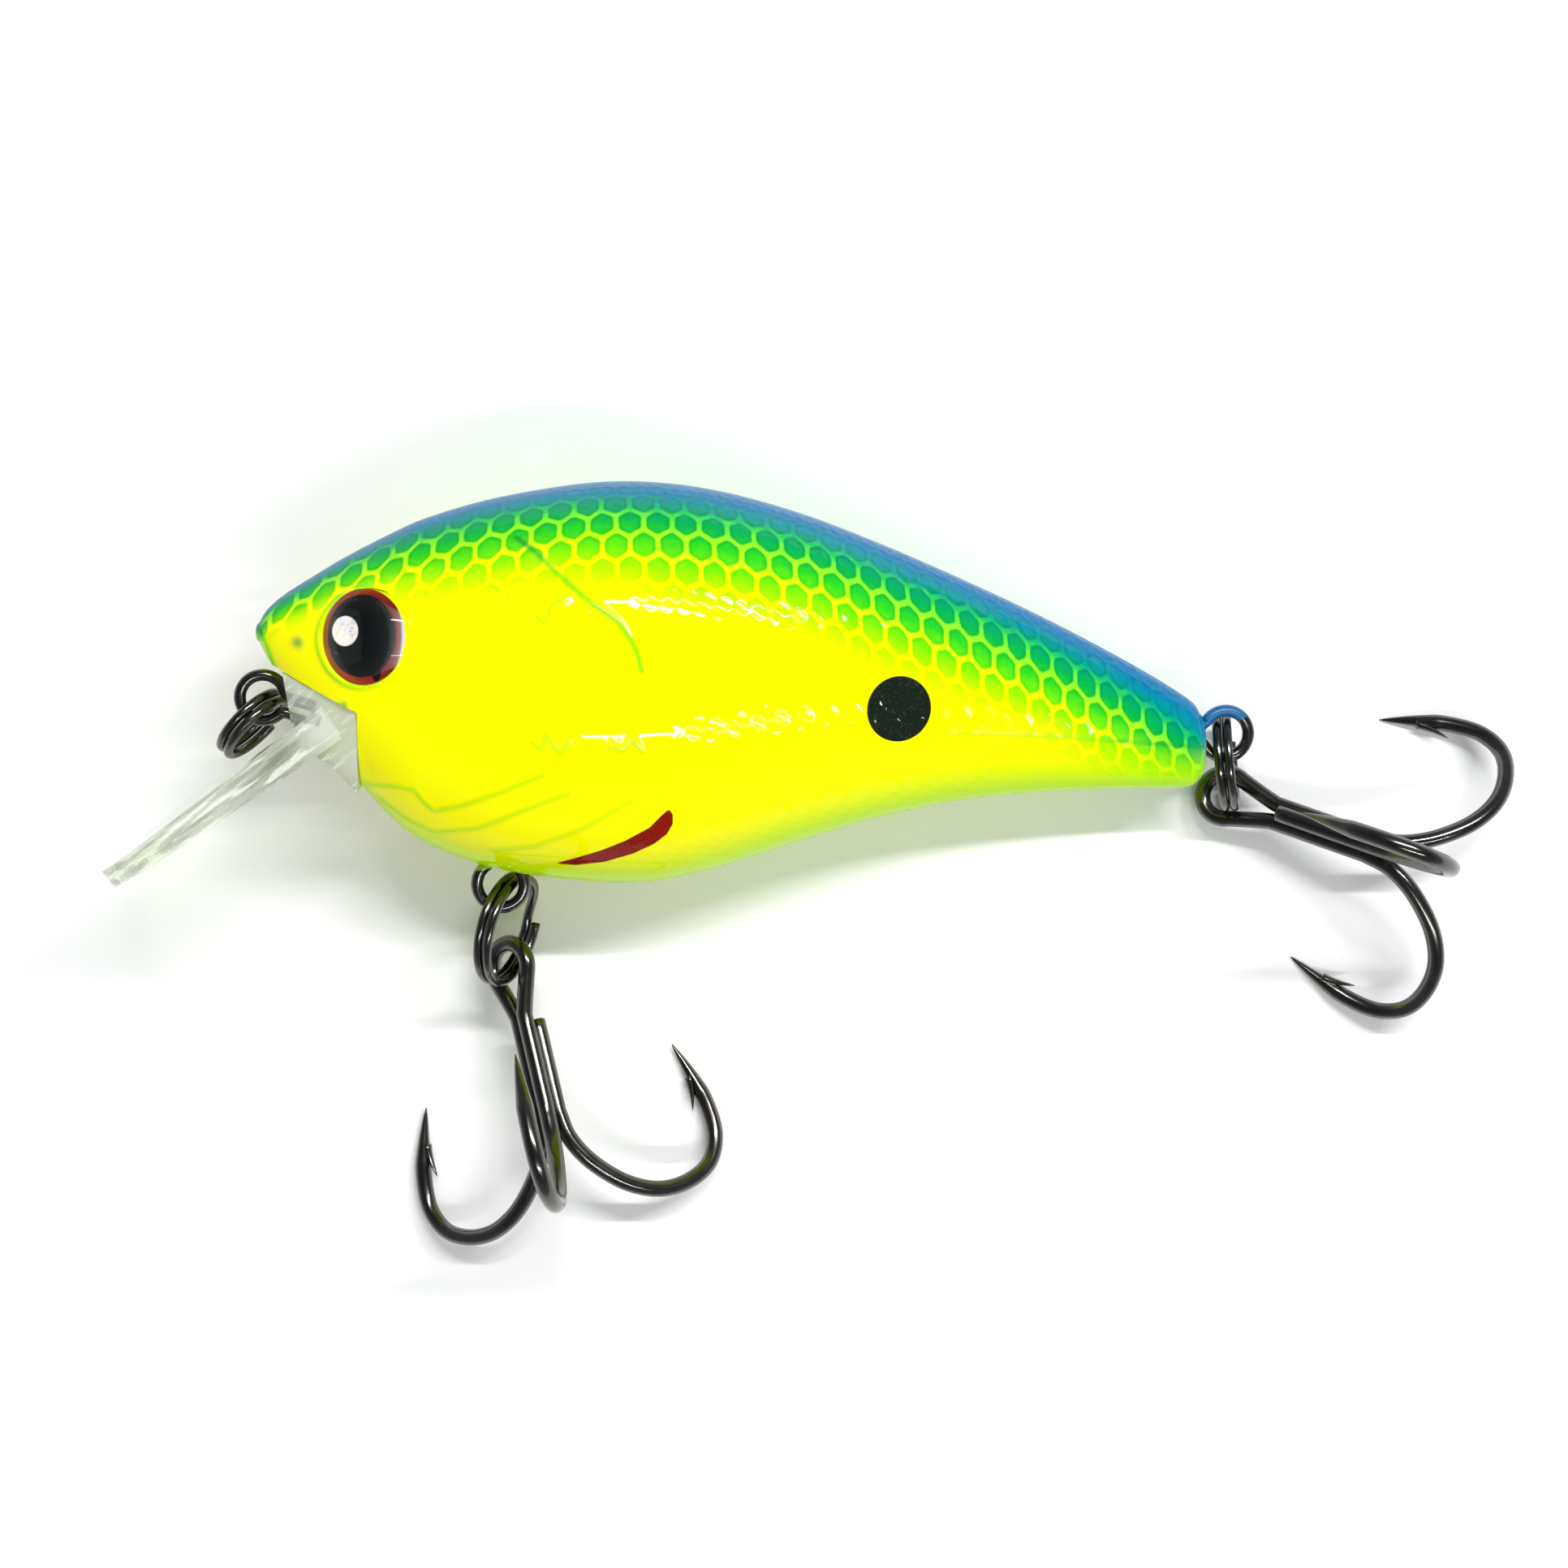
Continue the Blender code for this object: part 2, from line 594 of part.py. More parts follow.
def treble(label, frame, single_at, eye_turn, look):
    """Double hook with the eye, and the single hook, from three wires."""
    angles = {slot: math.radians(90.0 + 120.0 * slot) for slot in range(3)}
    single_angle = angles.pop(single_at)
    first, second = angles.values()

    facing = Vector((math.cos(single_angle + math.radians(eye_turn)),
                     math.sin(single_angle + math.radians(eye_turn))))
    wide = Vector((-facing.y, facing.x))
    start = Vector((math.cos(first), math.sin(first)))
    if wide.dot(start) < 0:
        wide = -wide
    shift = -SHANK_OFFSET / 2 * Vector((math.cos(single_angle), math.sin(single_angle)))
    hinge = frame @ Vector((TREBLE_EYE_AT, shift.x, shift.y))
    loop = []
    for degrees in np.linspace(-118.0, 118.0, 15):
        angle = math.radians(degrees)
        out = shift - wide * TREBLE_EYE_RADIUS * math.sin(angle)
        along = TREBLE_EYE_AT - TREBLE_EYE_RADIUS * math.cos(angle)
        loop.append(Vector((along, out.x, out.y)))
    left = hook_path(first, SHANK_CLOSED_AT)
    right = hook_path(second, SHANK_CLOSED_AT)
    path = [frame @ p for p in list(reversed(left)) + loop + right]
    double = sweep(label + "_double_hook", path, wire_radii(path, 2), origin=hinge)
    for slot, angle in enumerate((first, second)):
        fuse(double, barb("%s_barb_%d" % (label, slot), angle, frame, hinge))
    finish_with(double, look)

    path = [frame @ p for p in hook_path(single_angle, SINGLE_STARTS_AT)]
    single = sweep(label + "_single_hook", path, wire_radii(path, 1), origin=hinge)
    fuse(single, barb(label + "_barb_single", single_angle, frame, hinge))
    finish_with(single, look)


def hook_set(label, eye_at, ring, lie, single_at, eye_turn, look):
    """Split ring in a hanger's eye, and the treble that hangs from it."""
    hinge = at(*eye_at)
    start, degrees, pitch = lie
    split_ring(label + "_split_ring", hinge, ring, look)
    frame = treble_frame(hinge + Vector(start), degrees, pitch)
    treble(label + "_treble", frame, single_at, eye_turn, look)


# ---- Inner pieces ----
def ballast(look):
    centre = at(*BALLAST)
    half = BALLAST_LENGTH / 2
    round_off = 0.6
    profile = ((-half, BALLAST_RADIUS - round_off), (-half + round_off, BALLAST_RADIUS),
               (half - round_off, BALLAST_RADIUS), (half, BALLAST_RADIUS - round_off))
    return finish_with(turned("belly_ballast", profile, centre, heading(90.0), 16), look)


def rattle_ball(name, u, v, look):
    """Ball at the low end of its chamber, where it lies when the lure is on its side."""
    centre = at(u, v, -RATTLE_TRAVEL / 2)
    profile = [(-RATTLE_RADIUS * math.cos(math.pi * k / 10),
                RATTLE_RADIUS * math.sin(math.pi * k / 10)) for k in range(11)]
    profile[0] = (profile[0][0], 0.0)
    profile[-1] = (profile[-1][0], 0.0)
    return finish_with(turned(name, profile, centre, LEFT, 16, origin=centre), look)


def main():
    clear_scene()
    paint = material("body_paint", (0.80, 0.95, 0.02), 0.18)
    clear = material("clear_plastic", (0.86, 0.90, 0.80), 0.05, clear=1.0)
    nickel = material("black_nickel", (0.16, 0.15, 0.15), 0.22, metallic=1.0)
    foil = material("eye_foil", (0.30, 0.05, 0.03), 0.3, metallic=0.3)
    steel = material("steel", (0.55, 0.55, 0.56), 0.25, metallic=1.0)
    lead = material("lead", (0.28, 0.29, 0.30), 0.6, metallic=0.8)

    body_shell("left_body_shell", 1, paint)
    body_shell("right_body_shell", -1, paint)
    diving_lip(clear)
    for label, side in (("left", 1), ("right", -1)):
        eye(label, side, foil, clear)
    finish_with(line_tie("line_tie_wire"), nickel)
    finish_with(hanger("belly_hanger", BELLY_EYE, -heading(0.0)), nickel)
    finish_with(hanger("tail_hanger", TAIL_EYE, -heading(90.0)), nickel)

    split_ring("line_tie_split_ring", at(*TIE_EYE), TIE_RING, nickel)
    hook_set("belly", BELLY_EYE, BELLY_RING, BELLY_TREBLE, 2, BELLY_EYE_TURN, nickel)
    hook_set("tail", TAIL_EYE, TAIL_RING, TAIL_TREBLE, 0, 0.0, nickel)

    ballast(lead)
    for name, u, v in RATTLES:
        rattle_ball(name, u, v, steel)


if __name__ == "__main__":
    main()
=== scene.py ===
"""Looks of the crankbait lure: painted body, eyes, clear lip, rings and treble hooks.

Lengths in this file are in millimetres until mesh_piece() turns them into metres.
u runs from the nose to the tail, v from the belly to the back, w to the lure's left.
"""
import math

import bmesh
import bpy
import numpy as np
from mathutils import Matrix, Vector


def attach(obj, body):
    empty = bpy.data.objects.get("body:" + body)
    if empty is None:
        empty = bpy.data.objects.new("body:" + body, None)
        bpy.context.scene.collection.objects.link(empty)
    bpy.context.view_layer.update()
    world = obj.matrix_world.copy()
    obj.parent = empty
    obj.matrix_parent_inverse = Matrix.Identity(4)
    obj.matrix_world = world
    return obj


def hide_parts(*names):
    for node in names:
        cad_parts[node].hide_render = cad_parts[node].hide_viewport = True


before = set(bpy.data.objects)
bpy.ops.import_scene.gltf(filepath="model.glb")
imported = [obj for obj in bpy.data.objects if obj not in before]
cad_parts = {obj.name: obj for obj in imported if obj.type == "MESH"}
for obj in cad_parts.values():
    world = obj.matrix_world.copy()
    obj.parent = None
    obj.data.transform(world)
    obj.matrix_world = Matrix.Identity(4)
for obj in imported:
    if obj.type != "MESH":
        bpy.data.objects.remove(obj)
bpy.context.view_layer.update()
MM = 0.001

# ---- How the lure lies, as in the CAD ----
NOSE = (-32.64, 14.22, 10.88)
LEAN, ROLL = 5.0, 8.0
LYING = (Matrix.Rotation(math.radians(LEAN), 3, "Y")
         @ Matrix.Rotation(math.radians(ROLL), 3, "X"))
BACK, LEFT = LYING @ Vector((0.0, 1.0, 0.0)), LYING @ Vector((0.0, 0.0, 1.0))
TURN = np.array([list(row) for row in LYING])

# ---- Body: distance behind the nose, top, bottom, half width ----
STATIONS = np.array((
    (0.0, 0.34, -0.74, 0.75), (0.48, 1.13, -1.67, 1.60), (1.45, 1.98, -3.35, 2.50),
    (2.9, 2.92, -5.53, 3.55), (4.85, 4.11, -7.92, 4.80), (7.4, 5.46, -10.87, 6.00),
    (9.75, 6.51, -12.58, 6.90), (13.7, 7.67, -14.00, 7.95), (18.7, 8.53, -14.73, 8.40),
    (22.65, 8.64, -14.74, 8.35), (26.65, 8.14, -13.89, 7.95), (31.2, 6.95, -12.42, 7.10),
    (35.75, 5.29, -11.05, 6.00), (40.85, 3.16, -9.98, 4.80), (46.0, 0.82, -9.47, 3.75),
    (51.15, -1.81, -9.27, 2.80), (54.6, -3.84, -9.22, 2.20), (55.35, -4.71, -8.86, 1.75),
))
ROUNDNESS = 2.1
SEAM = 0.02                 # half the parting line between the shells
SKIN_STEP = 0.15            # size of the skin's faces
SKIN_SIDES = 190            # faces round one half
WALL, CAVITY = 1.3, (9.0, 49.0)
NOSE_BULGE, TAIL_BULGE = 0.2, 0.28
BULGE_ROWS, BULGE_FROM, BULGE_TO = 8, 85.0, 12.0        # sections and angles of each end
LOOKUP = 400                # rows and columns of the table of arc lengths
THROAT = ((-3.0, -0.14), (5.9, -4.3), (5.9, -20.0), (-3.0, -20.0))

# ---- Eyes ----
EYE_U, EYE_V, EYE_TURN, EYE_LIFT = 6.24, 0.0, 28.0, 6.0
EYE_RADIUS, EYE_DEPTH, EYE_GAP = 2.7, 1.35, 0.06
DISC_THICK, DOME_RISE, DOME_RIM = 0.3, 0.95, 0.75
SOCKET_RING, SOCKET_GROOVE = 2.88, 0.10         # radius and depth of the groove round it
RIM = 0.03                              # chamfer of the disc
# Pupil, its small point and the silver dot: middle and half axes.
PUPIL, NOTCH = (-0.42, 0.05, 2.0, 2.14), (0.5, -1.75, 0.2941, 0.5556)
GLINT = (-1.35, 0.25, 0.74, 0.74)

# ---- Lip and wire ----
LIP_ROOT, LIP_ANGLE, LIP_LENGTH = (3.8, -4.08), 37.4, 16.15
LIP_THICK = (2.1, 1.1)
LIP_HALF_ROOT, LIP_HALF_WIDE, LIP_WIDE_AT, LIP_SQUARENESS = 5.2, 6.7, 9.4, 2.6
LIP_SHOULDER = ((0.25, 0.85), (0.5, 0.93), (0.75, 0.98))    # shares of length and width
BLOCK_FRONT, BLOCK_BACK = 1.5, 5.84
BLOCK_UNDER = ((BLOCK_BACK, -9.0), (4.2, -7.3), (2.2, -6.4), (1.9, -4.6))
BLOCK_HALVES = (2.3, 4.9, 4.4, 4.2, 3.0, 2.4)
LIP_ROUNDING = 0.16
TIE_EYE, TIE_RADIUS, TIE_WIRE, TIE_LEG, TIE_LEG_GAP = (0.14, -4.0), 1.32, 0.35, 3.4, 1.04
BELLY_EYE, TAIL_EYE = (13.82, -15.02), (57.05, -6.02)
HANGER_RADIUS, HANGER_WIRE, HANGER_PITCH, HANGER_WAIST = 1.40, 0.36, 4.3, 0.62
RING_WIRE, RING_PITCH, RING_JOG = 0.28, 0.60, 30.0
WIRE_CHAMFER = (0.18, 0.8)              # length and last radius, as shares of the radius
# Each ring: middle from its wire eye, bearing and lean of its axis, radius.
TIE_RING = ((-0.87, -1.47, -1.41), -44.0, 5.5, 2.2)
BELLY_RING = ((0.22, -2.75, -1.93), -14.0, 18.5, 3.2)
TAIL_RING = ((0.38, -1.56, -1.96), 5.0, 12.0, 2.85)
# Each treble: its end from its hanger's eye, its heading and its rise.
BELLY_TREBLE = ((-0.08, -3.37, -4.45), 14.5, 12.0)
TAIL_TREBLE = ((-1.13, -3.09, -3.77), 69.5, 21.2)
BELLY_EYE_TURN = -25.0
HOOK_WIRE, SHANK_OFFSET = 0.5, 0.63
TREBLE_EYE_RADIUS, TREBLE_EYE_AT, TREBLE_EYE_OPENS = 1.42, 1.85, 118.0
SHANK_CLOSED_AT, SINGLE_STARTS_AT = 5.0, 5.4
HOOK_CURVE = (
    (11.0, 0.63), (12.7, 0.96), (14.4, 2.04), (16.0, 3.9), (16.8, 5.95),
    (16.7, 7.95), (15.87, 9.6), (14.3, 10.45), (12.35, 10.4), (10.4, 9.85), (8.3, 9.05),
)
POINT_TAPER = 3.4
BARB_BACK, BARB_RISE, BARB_ROOT, BARB_SIDES = (2.2, 4.1), 1.22, 0.25, 8
BRAZE, BRAZE_STEPS = (5.9, 12.4), 16

# ---- Moulded and printed marks of the flank, in (u, v) ----
GILL_LINES = (      # depth, half width, points
    (0.095, 0.12, ((14.9, 5.6), (15.93, 4.85), (16.84, 3.99), (18.54, 2.48), (20.42, 1.18),
        (21.09, 0.3), (21.58, -0.59), (21.8, -1.6))),
    (0.035, 0.11, ((13.24, 3.28), (14.24, 2.51), (15.27, 1.56))),
    (0.03, 0.11, ((17.73, 3.13), (18.63, 2.04), (19.3, 0.51))),
    (0.05, 0.12, ((6.41, -8.6), (8.14, -8.5), (9.08, -8.61), (9.61, -9.33), (10.19, -9.85),
        (11.83, -9.39), (14.12, -8.46), (16.38, -7.46))),
    (0.045, 0.12, ((7.1, -9.51), (8.5, -10.52), (10.12, -11.26), (12.71, -10.78), (15.02, -9.67),
        (17.74, -8.55))),
    (0.035, 0.12, ((13.36, -12.22), (15.91, -11.82), (18.66, -10.62), (21.37, -8.88))),
    (0.05, 0.12, ((15.94, 1.35), (16.48, 0.92), (16.84, 2.02), (17.73, 2.47))),
    (0.05, 0.12, ((15.72, -5.6), (16.3, -6.06), (16.48, -5.13), (17.29, -6.28), (17.73, -5.58))),
    (0.05, 0.12, ((20.1, -5.7), (20.7, -6.1), (21.3, -5.4), (21.9, -6.2))),
    (0.10, 0.12, ((0.1, 0.15), (0.45, -0.45), (0.75, -1.2), (0.94, -1.89))),
    (0.04, 0.10, ((39.6, -5.45), (43.5, -5.6), (48.5, -5.97), (53.0, -6.34), (55.2, -6.5))),
)
NOSTRILS, NOSTRIL_DEPTH = ((2.55, -0.48, 0.32), (5.2, -3.9, 0.22)), 0.16
COVER_RISE = 0.03           # of the gill cover over the flank behind it
SCALE_FRONT = ((16.0, 8.0), (17.5, 4.6), (19.6, 3.0), (22.4, 0.0), (22.8, -6.0),
               (21.5, -10.0), (18.0, -13.5))    # scales start behind this line
SCALE_PITCH, SCALE_HEIGHT = 0.93, 0.022
DOT = (36.54, -3.94, 1.9)
SLASH = ((16.96, -13.05), (18.21, -12.6), (19.59, -12.09), (20.96, -11.45), (22.32, -10.63),
         (22.99, -9.88), (23.39, -9.49), (23.63, -9.8), (23.65, -10.4), (23.34, -11.06),
         (22.62, -11.68), (21.44, -12.31), (19.83, -12.87), (18.22, -13.13))
NET_PITCH, NET_ROW, NET_WOBBLE = 1.57, 1.58, 0.22
NET_DROP, NET_SLANT = 0.75, 0.052       # rows start below the back, and drift along it
HEX_TALL = math.sqrt(0.75)              # from row to row of hexagons of width 1
# How far down the skin from the back the green fades out, by u.
FADE_REACH = ((0.0, 2.6), (2.5, 4.2), (6.0, 6.0), (9.0, 8.0), (12.0, 9.4), (18.0, 10.4),
              (24.0, 11.9), (36.5, 11.2), (45.0, 9.6), (51.0, 9.2), (55.5, 9.2))

# ---- Camera and lights, in metres, degrees and watts ----
CAMERA_AT, VIEW_ANGLE = (-0.00235, 0.00525, 0.160), 33.7748
LIGHTS = (      # name, middle, size, power, shows in reflections
    ("strip_back", (0.145, 0.195, 0.40), (0.32, 0.009), 1.75, True),
    ("strip_front", (0.145, -0.195, 0.40), (0.32, 0.009), 0.6, True),
    ("soft_fill", (0.0, 0.0, 0.50), (1.0, 1.0), 1.45, False),
)
FLOOR_HALF = 900


# ---- Frame helpers ----
def at(u, v, w=0.0):
    return Vector(NOSE) + LYING @ Vector((u, v, w))


def flat_heading(degrees):
    """Level direction: 0 is world -Y and 90 is +X."""
    turn = math.radians(degrees)
    return Vector((math.sin(turn), -math.cos(turn), 0.0))


def heading(degrees):
    return LYING @ flat_heading(degrees)


def to_local(points):
    """(u, v, w) of points given in world millimetres."""
    return (points - np.array(NOSE)) @ TURN


def to_world(local):
    return local @ TURN.T + np.array(NOSE)


def smooth_step(x):
    x = np.clip(x, 0.0, 1.0)
    return x * x * (3.0 - 2.0 * x)


def spline(knots, steps):
    """Smooth curve through the knots, with the given number of points a span."""
    knots = [np.array(k, float) for k in knots]
    ends = [2 * knots[0] - knots[1]] + knots + [2 * knots[-1] - knots[-2]]
    curve = []
    for i in range(1, len(ends) - 2):
        before, start, stop, after = ends[i - 1], ends[i], ends[i + 1], ends[i + 2]
        for t in np.linspace(0.0, 1.0, steps, endpoint=False):
            curve.append(0.5 * (2 * start + (stop - before) * t
                                + (2 * before - 5 * start + 4 * stop - after) * t ** 2
                                + (3 * start - before - 3 * stop + after) * t ** 3))
    return curve + [knots[-1]]


STATION_CURVE = np.array(spline(STATIONS, 12))


def station(u):
    """Top, bottom and half width of the body at each distance behind the nose."""
    return [np.interp(u, STATION_CURVE[:, 0], STATION_CURVE[:, k]) for k in (1, 2, 3)]


# ---- Meshes ----
def add_to_scene(thing):
    bpy.context.scene.collection.objects.link(thing)


def mesh_piece(name, points, faces, look=None, smooth=True):
    """Object from points in millimetres, with its normals outward."""
    mesh = bpy.data.meshes.new(name)
    mesh.from_pydata([tuple(float(c) * MM for c in p) for p in points], [], faces)
    shape = bmesh.new()
    shape.from_mesh(mesh)
    bmesh.ops.recalc_face_normals(shape, faces=shape.faces)
    shape.to_mesh(mesh)
    shape.free()
    if smooth:
        mesh.shade_smooth()
    piece = bpy.data.objects.new(name, mesh)
    add_to_scene(piece)
    if look:
        mesh.materials.append(look)
    return piece


def grid_faces(rows, columns, closed=False):
    """Faces round a row of loops, which is closed on itself or capped."""
    faces = []
    for row in range(rows if closed else rows - 1):
        for column in range(columns):
            below, beside = (row + 1) % rows, (column + 1) % columns
            faces.append((row * columns + column, row * columns + beside,
                          below * columns + beside, below * columns + column))
    if not closed:
        faces.append(tuple(range(columns)))
        faces.append(tuple(range((rows - 1) * columns, rows * columns)))
    return faces


def slab_faces(count):
    """Faces of a slab between two outlines."""
    faces = [tuple(range(count)), tuple(range(count, 2 * count))]
    for k in range(count):
        after = (k + 1) % count
        faces.append((k, after, count + after, count + k))
    return faces


def swept(middle, radius, one, two, angles):
    return [middle + radius * (one * math.cos(a) + two * math.sin(a)) for a in angles]


def whole_turn(sides):
    return [2 * math.pi * k / sides for k in range(sides)]


def tube(path, radius, closed=False, sides=20):
    """Points and faces of a round wire along a path."""
    path = [Vector(p) for p in path]
    radii = list(radius) if isinstance(radius, (list, tuple)) else [radius] * len(path)
    count = len(path)
    tangents = []
    for i in range(count):
        ahead = path[(i + 1) % count] if closed else path[min(i + 1, count - 1)]
        behind = path[i - 1] if closed or i > 0 else path[0]
        tangents.append((ahead - behind).normalized())
    normal = tangents[0].orthogonal().normalized()
    normals = [normal]
    for i in range(1, count):
        normal = tangents[i - 1].rotation_difference(tangents[i]) @ normal
        normals.append((normal - tangents[i] * normal.dot(tangents[i])).normalized())
    twist = 0.0
    if closed:
        back = tangents[-1].rotation_difference(tangents[0]) @ normals[-1]
        twist = math.atan2(back.cross(normals[0]).dot(tangents[0]), back.dot(normals[0]))
    rings = []
    for i in range(count):
        one = Matrix.Rotation(twist * i / count, 3, tangents[i]) @ normals[i]
        rings.append((path[i], one, tangents[i].cross(one), radii[i]))
    if not closed:      # a small chamfer at the start, and a hollow in the end
        length, share = WIRE_CHAMFER
        caps = [(spot + way * r * length, one, two, r * share)
                for (spot, one, two, r), way in ((rings[0], -tangents[0]),
                                                 (rings[-2], tangents[-1]))]
        rings = [caps[0]] + rings + [caps[1]]
    angles = whole_turn(sides)
    points = [p for spot, one, two, r in rings for p in swept(spot, r, one, two, angles)]
    return points, grid_faces(len(rings), sides, closed)


def turned(profile, centre, axis, sides=72):
    """Points and faces of a solid of revolution from (along, radius) pairs."""
    axis = Vector(axis).normalized()
    side = axis.orthogonal().normalized()
    other = axis.cross(side)
    points, rows = [], []
    for along, radius in profile:
        if radius < 1e-6:
            rows.append([len(points)] * sides)
            points.append(centre + axis * along)
            continue
        rows.append(list(range(len(points), len(points) + sides)))
        points += swept(centre + axis * along, radius, side, other, whole_turn(sides))
    faces = []
    for upper, lower in zip(rows, rows[1:]):
        for k in range(sides):
            ring = (upper[k], upper[(k + 1) % sides], lower[(k + 1) % sides], lower[k])
            faces.append(tuple(dict.fromkeys(ring)))
    for end in (rows[0], rows[-1]):
        if len(set(end)) > 1:
            faces.append(tuple(end))
    return points, faces


def merged(*parts):
    """One list of points and one of faces from several solids."""
    points, faces = [], []
    for some_points, some_faces in parts:
        start = len(points)
        points.extend(some_points)
        faces.extend(tuple(i + start for i in face) for face in some_faces)
    return points, faces


def prism(outline, half_widths):
    """Slab over an outline in (u, v), with a half width at each corner."""
    points = [at(u, v, side * half)
              for side in (-1, 1) for (u, v), half in zip(outline, half_widths)]
    return points, slab_faces(len(outline))


def carve(piece, tools, operation="DIFFERENCE"):
    """Applies Booleans with each tool and removes the tools."""
    for tool in tools:
        step = piece.modifiers.new("carve", "BOOLEAN")
        step.operation = operation
        step.solver = "EXACT"
        step.object = tool
        bpy.context.view_layer.update()
        shaped = bpy.data.meshes.new_from_object(
            piece.evaluated_get(bpy.context.evaluated_depsgraph_get()))
        piece.modifiers.clear()
        piece.data = shaped
        bpy.data.objects.remove(tool)


def dress(piece, look, sharp_from):
    """One material and sharp edges for a carved piece."""
    piece.data.materials.clear()
    piece.data.materials.append(look)
    piece.data.shade_smooth()
    piece.data.set_sharp_from_angle(angle=math.radians(sharp_from))


def set_attribute(piece, name, *columns):
    """Up to three values for each point, for the materials."""
    values = np.zeros((len(piece.data.vertices), 3), np.float32)
    for k, column in enumerate(columns):
        values[:, k] = column
    layer = piece.data.attributes.new(name, "FLOAT_VECTOR", "POINT")
    layer.data.foreach_set("vector", values.ravel())


def world_points(piece):
    coords = np.empty(len(piece.data.vertices) * 3)
    piece.data.vertices.foreach_get("co", coords)
    return coords.reshape(-1, 3) / MM


# ---- Node graphs ----
class Graph:
    """Short names for the nodes that the materials use."""

    def __init__(self, name):
        self.material = bpy.data.materials.new(name)
        self.material.use_nodes = True
        self.tree = self.material.node_tree
        self.shader = self.tree.nodes["Principled BSDF"]

    def node(self, kind, **settings):
        made = self.tree.nodes.new("ShaderNode" + kind)
        for key, value in settings.items():
            setattr(made, key, value)
        return made

    def feed(self, socket, value):
        if isinstance(value, bpy.types.NodeSocket):
            self.tree.links.new(value, socket)
        else:
            socket.default_value = value

    def math(self, operation, *values, kind="Math"):
        made = self.node(kind, operation=operation)
        for socket, value in zip(made.inputs, values):
            self.feed(socket, value)
        return made.outputs[1 if operation in ("LENGTH", "DOT_PRODUCT") else 0]

    def times(self, first, second):
        return self.math("MULTIPLY", first, second)

    def vector(self, operation, *values):
        return self.math(operation, *values, kind="VectorMath")

    def flat_length(self, value):
        """Length of a vector's x and y."""
        return self.vector("LENGTH", self.vector("MULTIPLY", value, (1, 1, 0)))

    def split(self, name):
        """The three values of an attribute."""
        made = self.node("SeparateXYZ")
        self.feed(made.inputs[0], self.attribute(name))
        return made.outputs

    def attribute(self, name):
        return self.node("Attribute", attribute_name=name).outputs["Vector"]

    def step(self, value, low, high):
        """Smooth step from 0 at low to 1 at high."""
        made = self.node("MapRange", interpolation_type="SMOOTHSTEP")
        self.feed(made.inputs["Value"], value)
        made.inputs["From Min"].default_value = low
        made.inputs["From Max"].default_value = high
        return made.outputs["Result"]

    def mix(self, factor, first, second, blend="MIX"):
        made = self.node("Mix", data_type="RGBA", blend_type=blend)
        self.feed(made.inputs["Factor"], factor)
        self.feed(made.inputs[6], first)
        self.feed(made.inputs[7], second)
        return made.outputs[2]

    def ramp(self, value, stops):
        made = self.node("ValToRGB")
        band = made.color_ramp
        while len(band.elements) < len(stops):
            band.elements.new(0.5)
        for element, (spot, colour) in zip(band.elements, stops):
            element.position = spot
            element.color = colour
        self.feed(made.inputs[0], value)
        return made.outputs["Color"]

    def noise(self, scale, detail=2.0, coordinates=None):
        made = self.node("TexNoise")
        made.inputs["Scale"].default_value = scale
        made.inputs["Detail"].default_value = detail
        if coordinates is None:
            coordinates = self.node("TexCoord").outputs["Object"]
        self.feed(made.inputs["Vector"], coordinates)
        return made.outputs["Fac"]

    def bump(self, height, strength, distance):
        made = self.node("Bump")
        made.inputs["Strength"].default_value = strength
        made.inputs["Distance"].default_value = distance
        self.feed(made.inputs["Height"], height)
        self.feed(self.shader.inputs["Normal"], made.outputs[0])

    def set(self, **values):
        for key, value in values.items():
            self.feed(self.shader.inputs[key.replace("_", " ")], value)


def srgb(red, green, blue):
    """Linear colour from the usual 0 to 255 values."""
    return tuple((c / 255 / 12.92 if c / 255 <= 0.04045 else ((c / 255 + 0.055) / 1.055) ** 2.4)
                 for c in (red, green, blue)) + (1.0,)


YELLOW = srgb(250, 246, 0)


def hexagon_net(g, skin):
    """Distance from the middle of a cell: 0 there, 0.5 at the net."""
    wobble = g.node("TexNoise")
    wobble.inputs["Scale"].default_value = 0.9
    g.feed(wobble.inputs["Vector"], skin)
    spread = g.vector("SUBTRACT", wobble.outputs["Color"], (0.5, 0.5, 0.5))
    bent = g.vector("ADD", skin, g.vector("MULTIPLY", spread, (NET_WOBBLE, NET_WOBBLE, 0.0)))
    spot = g.vector("MULTIPLY", bent, (1.0 / NET_PITCH, HEX_TALL / NET_ROW, 0.0))
    half = (0.5, HEX_TALL, 1.0)
    low = tuple(-h for h in half)
    first = g.vector("WRAP", spot, half, low)
    second = g.vector("WRAP", g.vector("SUBTRACT", spot, (0.5, HEX_TALL, 0.0)), half, low)
    cell = g.node("Mix", data_type="VECTOR")
    g.feed(cell.inputs["Factor"],
           g.math("LESS_THAN", g.flat_length(first), g.flat_length(second)))
    g.feed(cell.inputs[4], second)
    g.feed(cell.inputs[5], first)
    parts = g.node("SeparateXYZ")
    g.feed(parts.inputs[0], g.vector("ABSOLUTE", cell.outputs[1]))
    across = parts.outputs[0]
    slanted = g.math("ADD", g.times(across, 0.5), g.times(parts.outputs[1], HEX_TALL))
    rounded = g.times(g.flat_length(cell.outputs[1]), 0.93)
    return g.math("MAXIMUM", g.math("MAXIMUM", across, slanted), rounded)


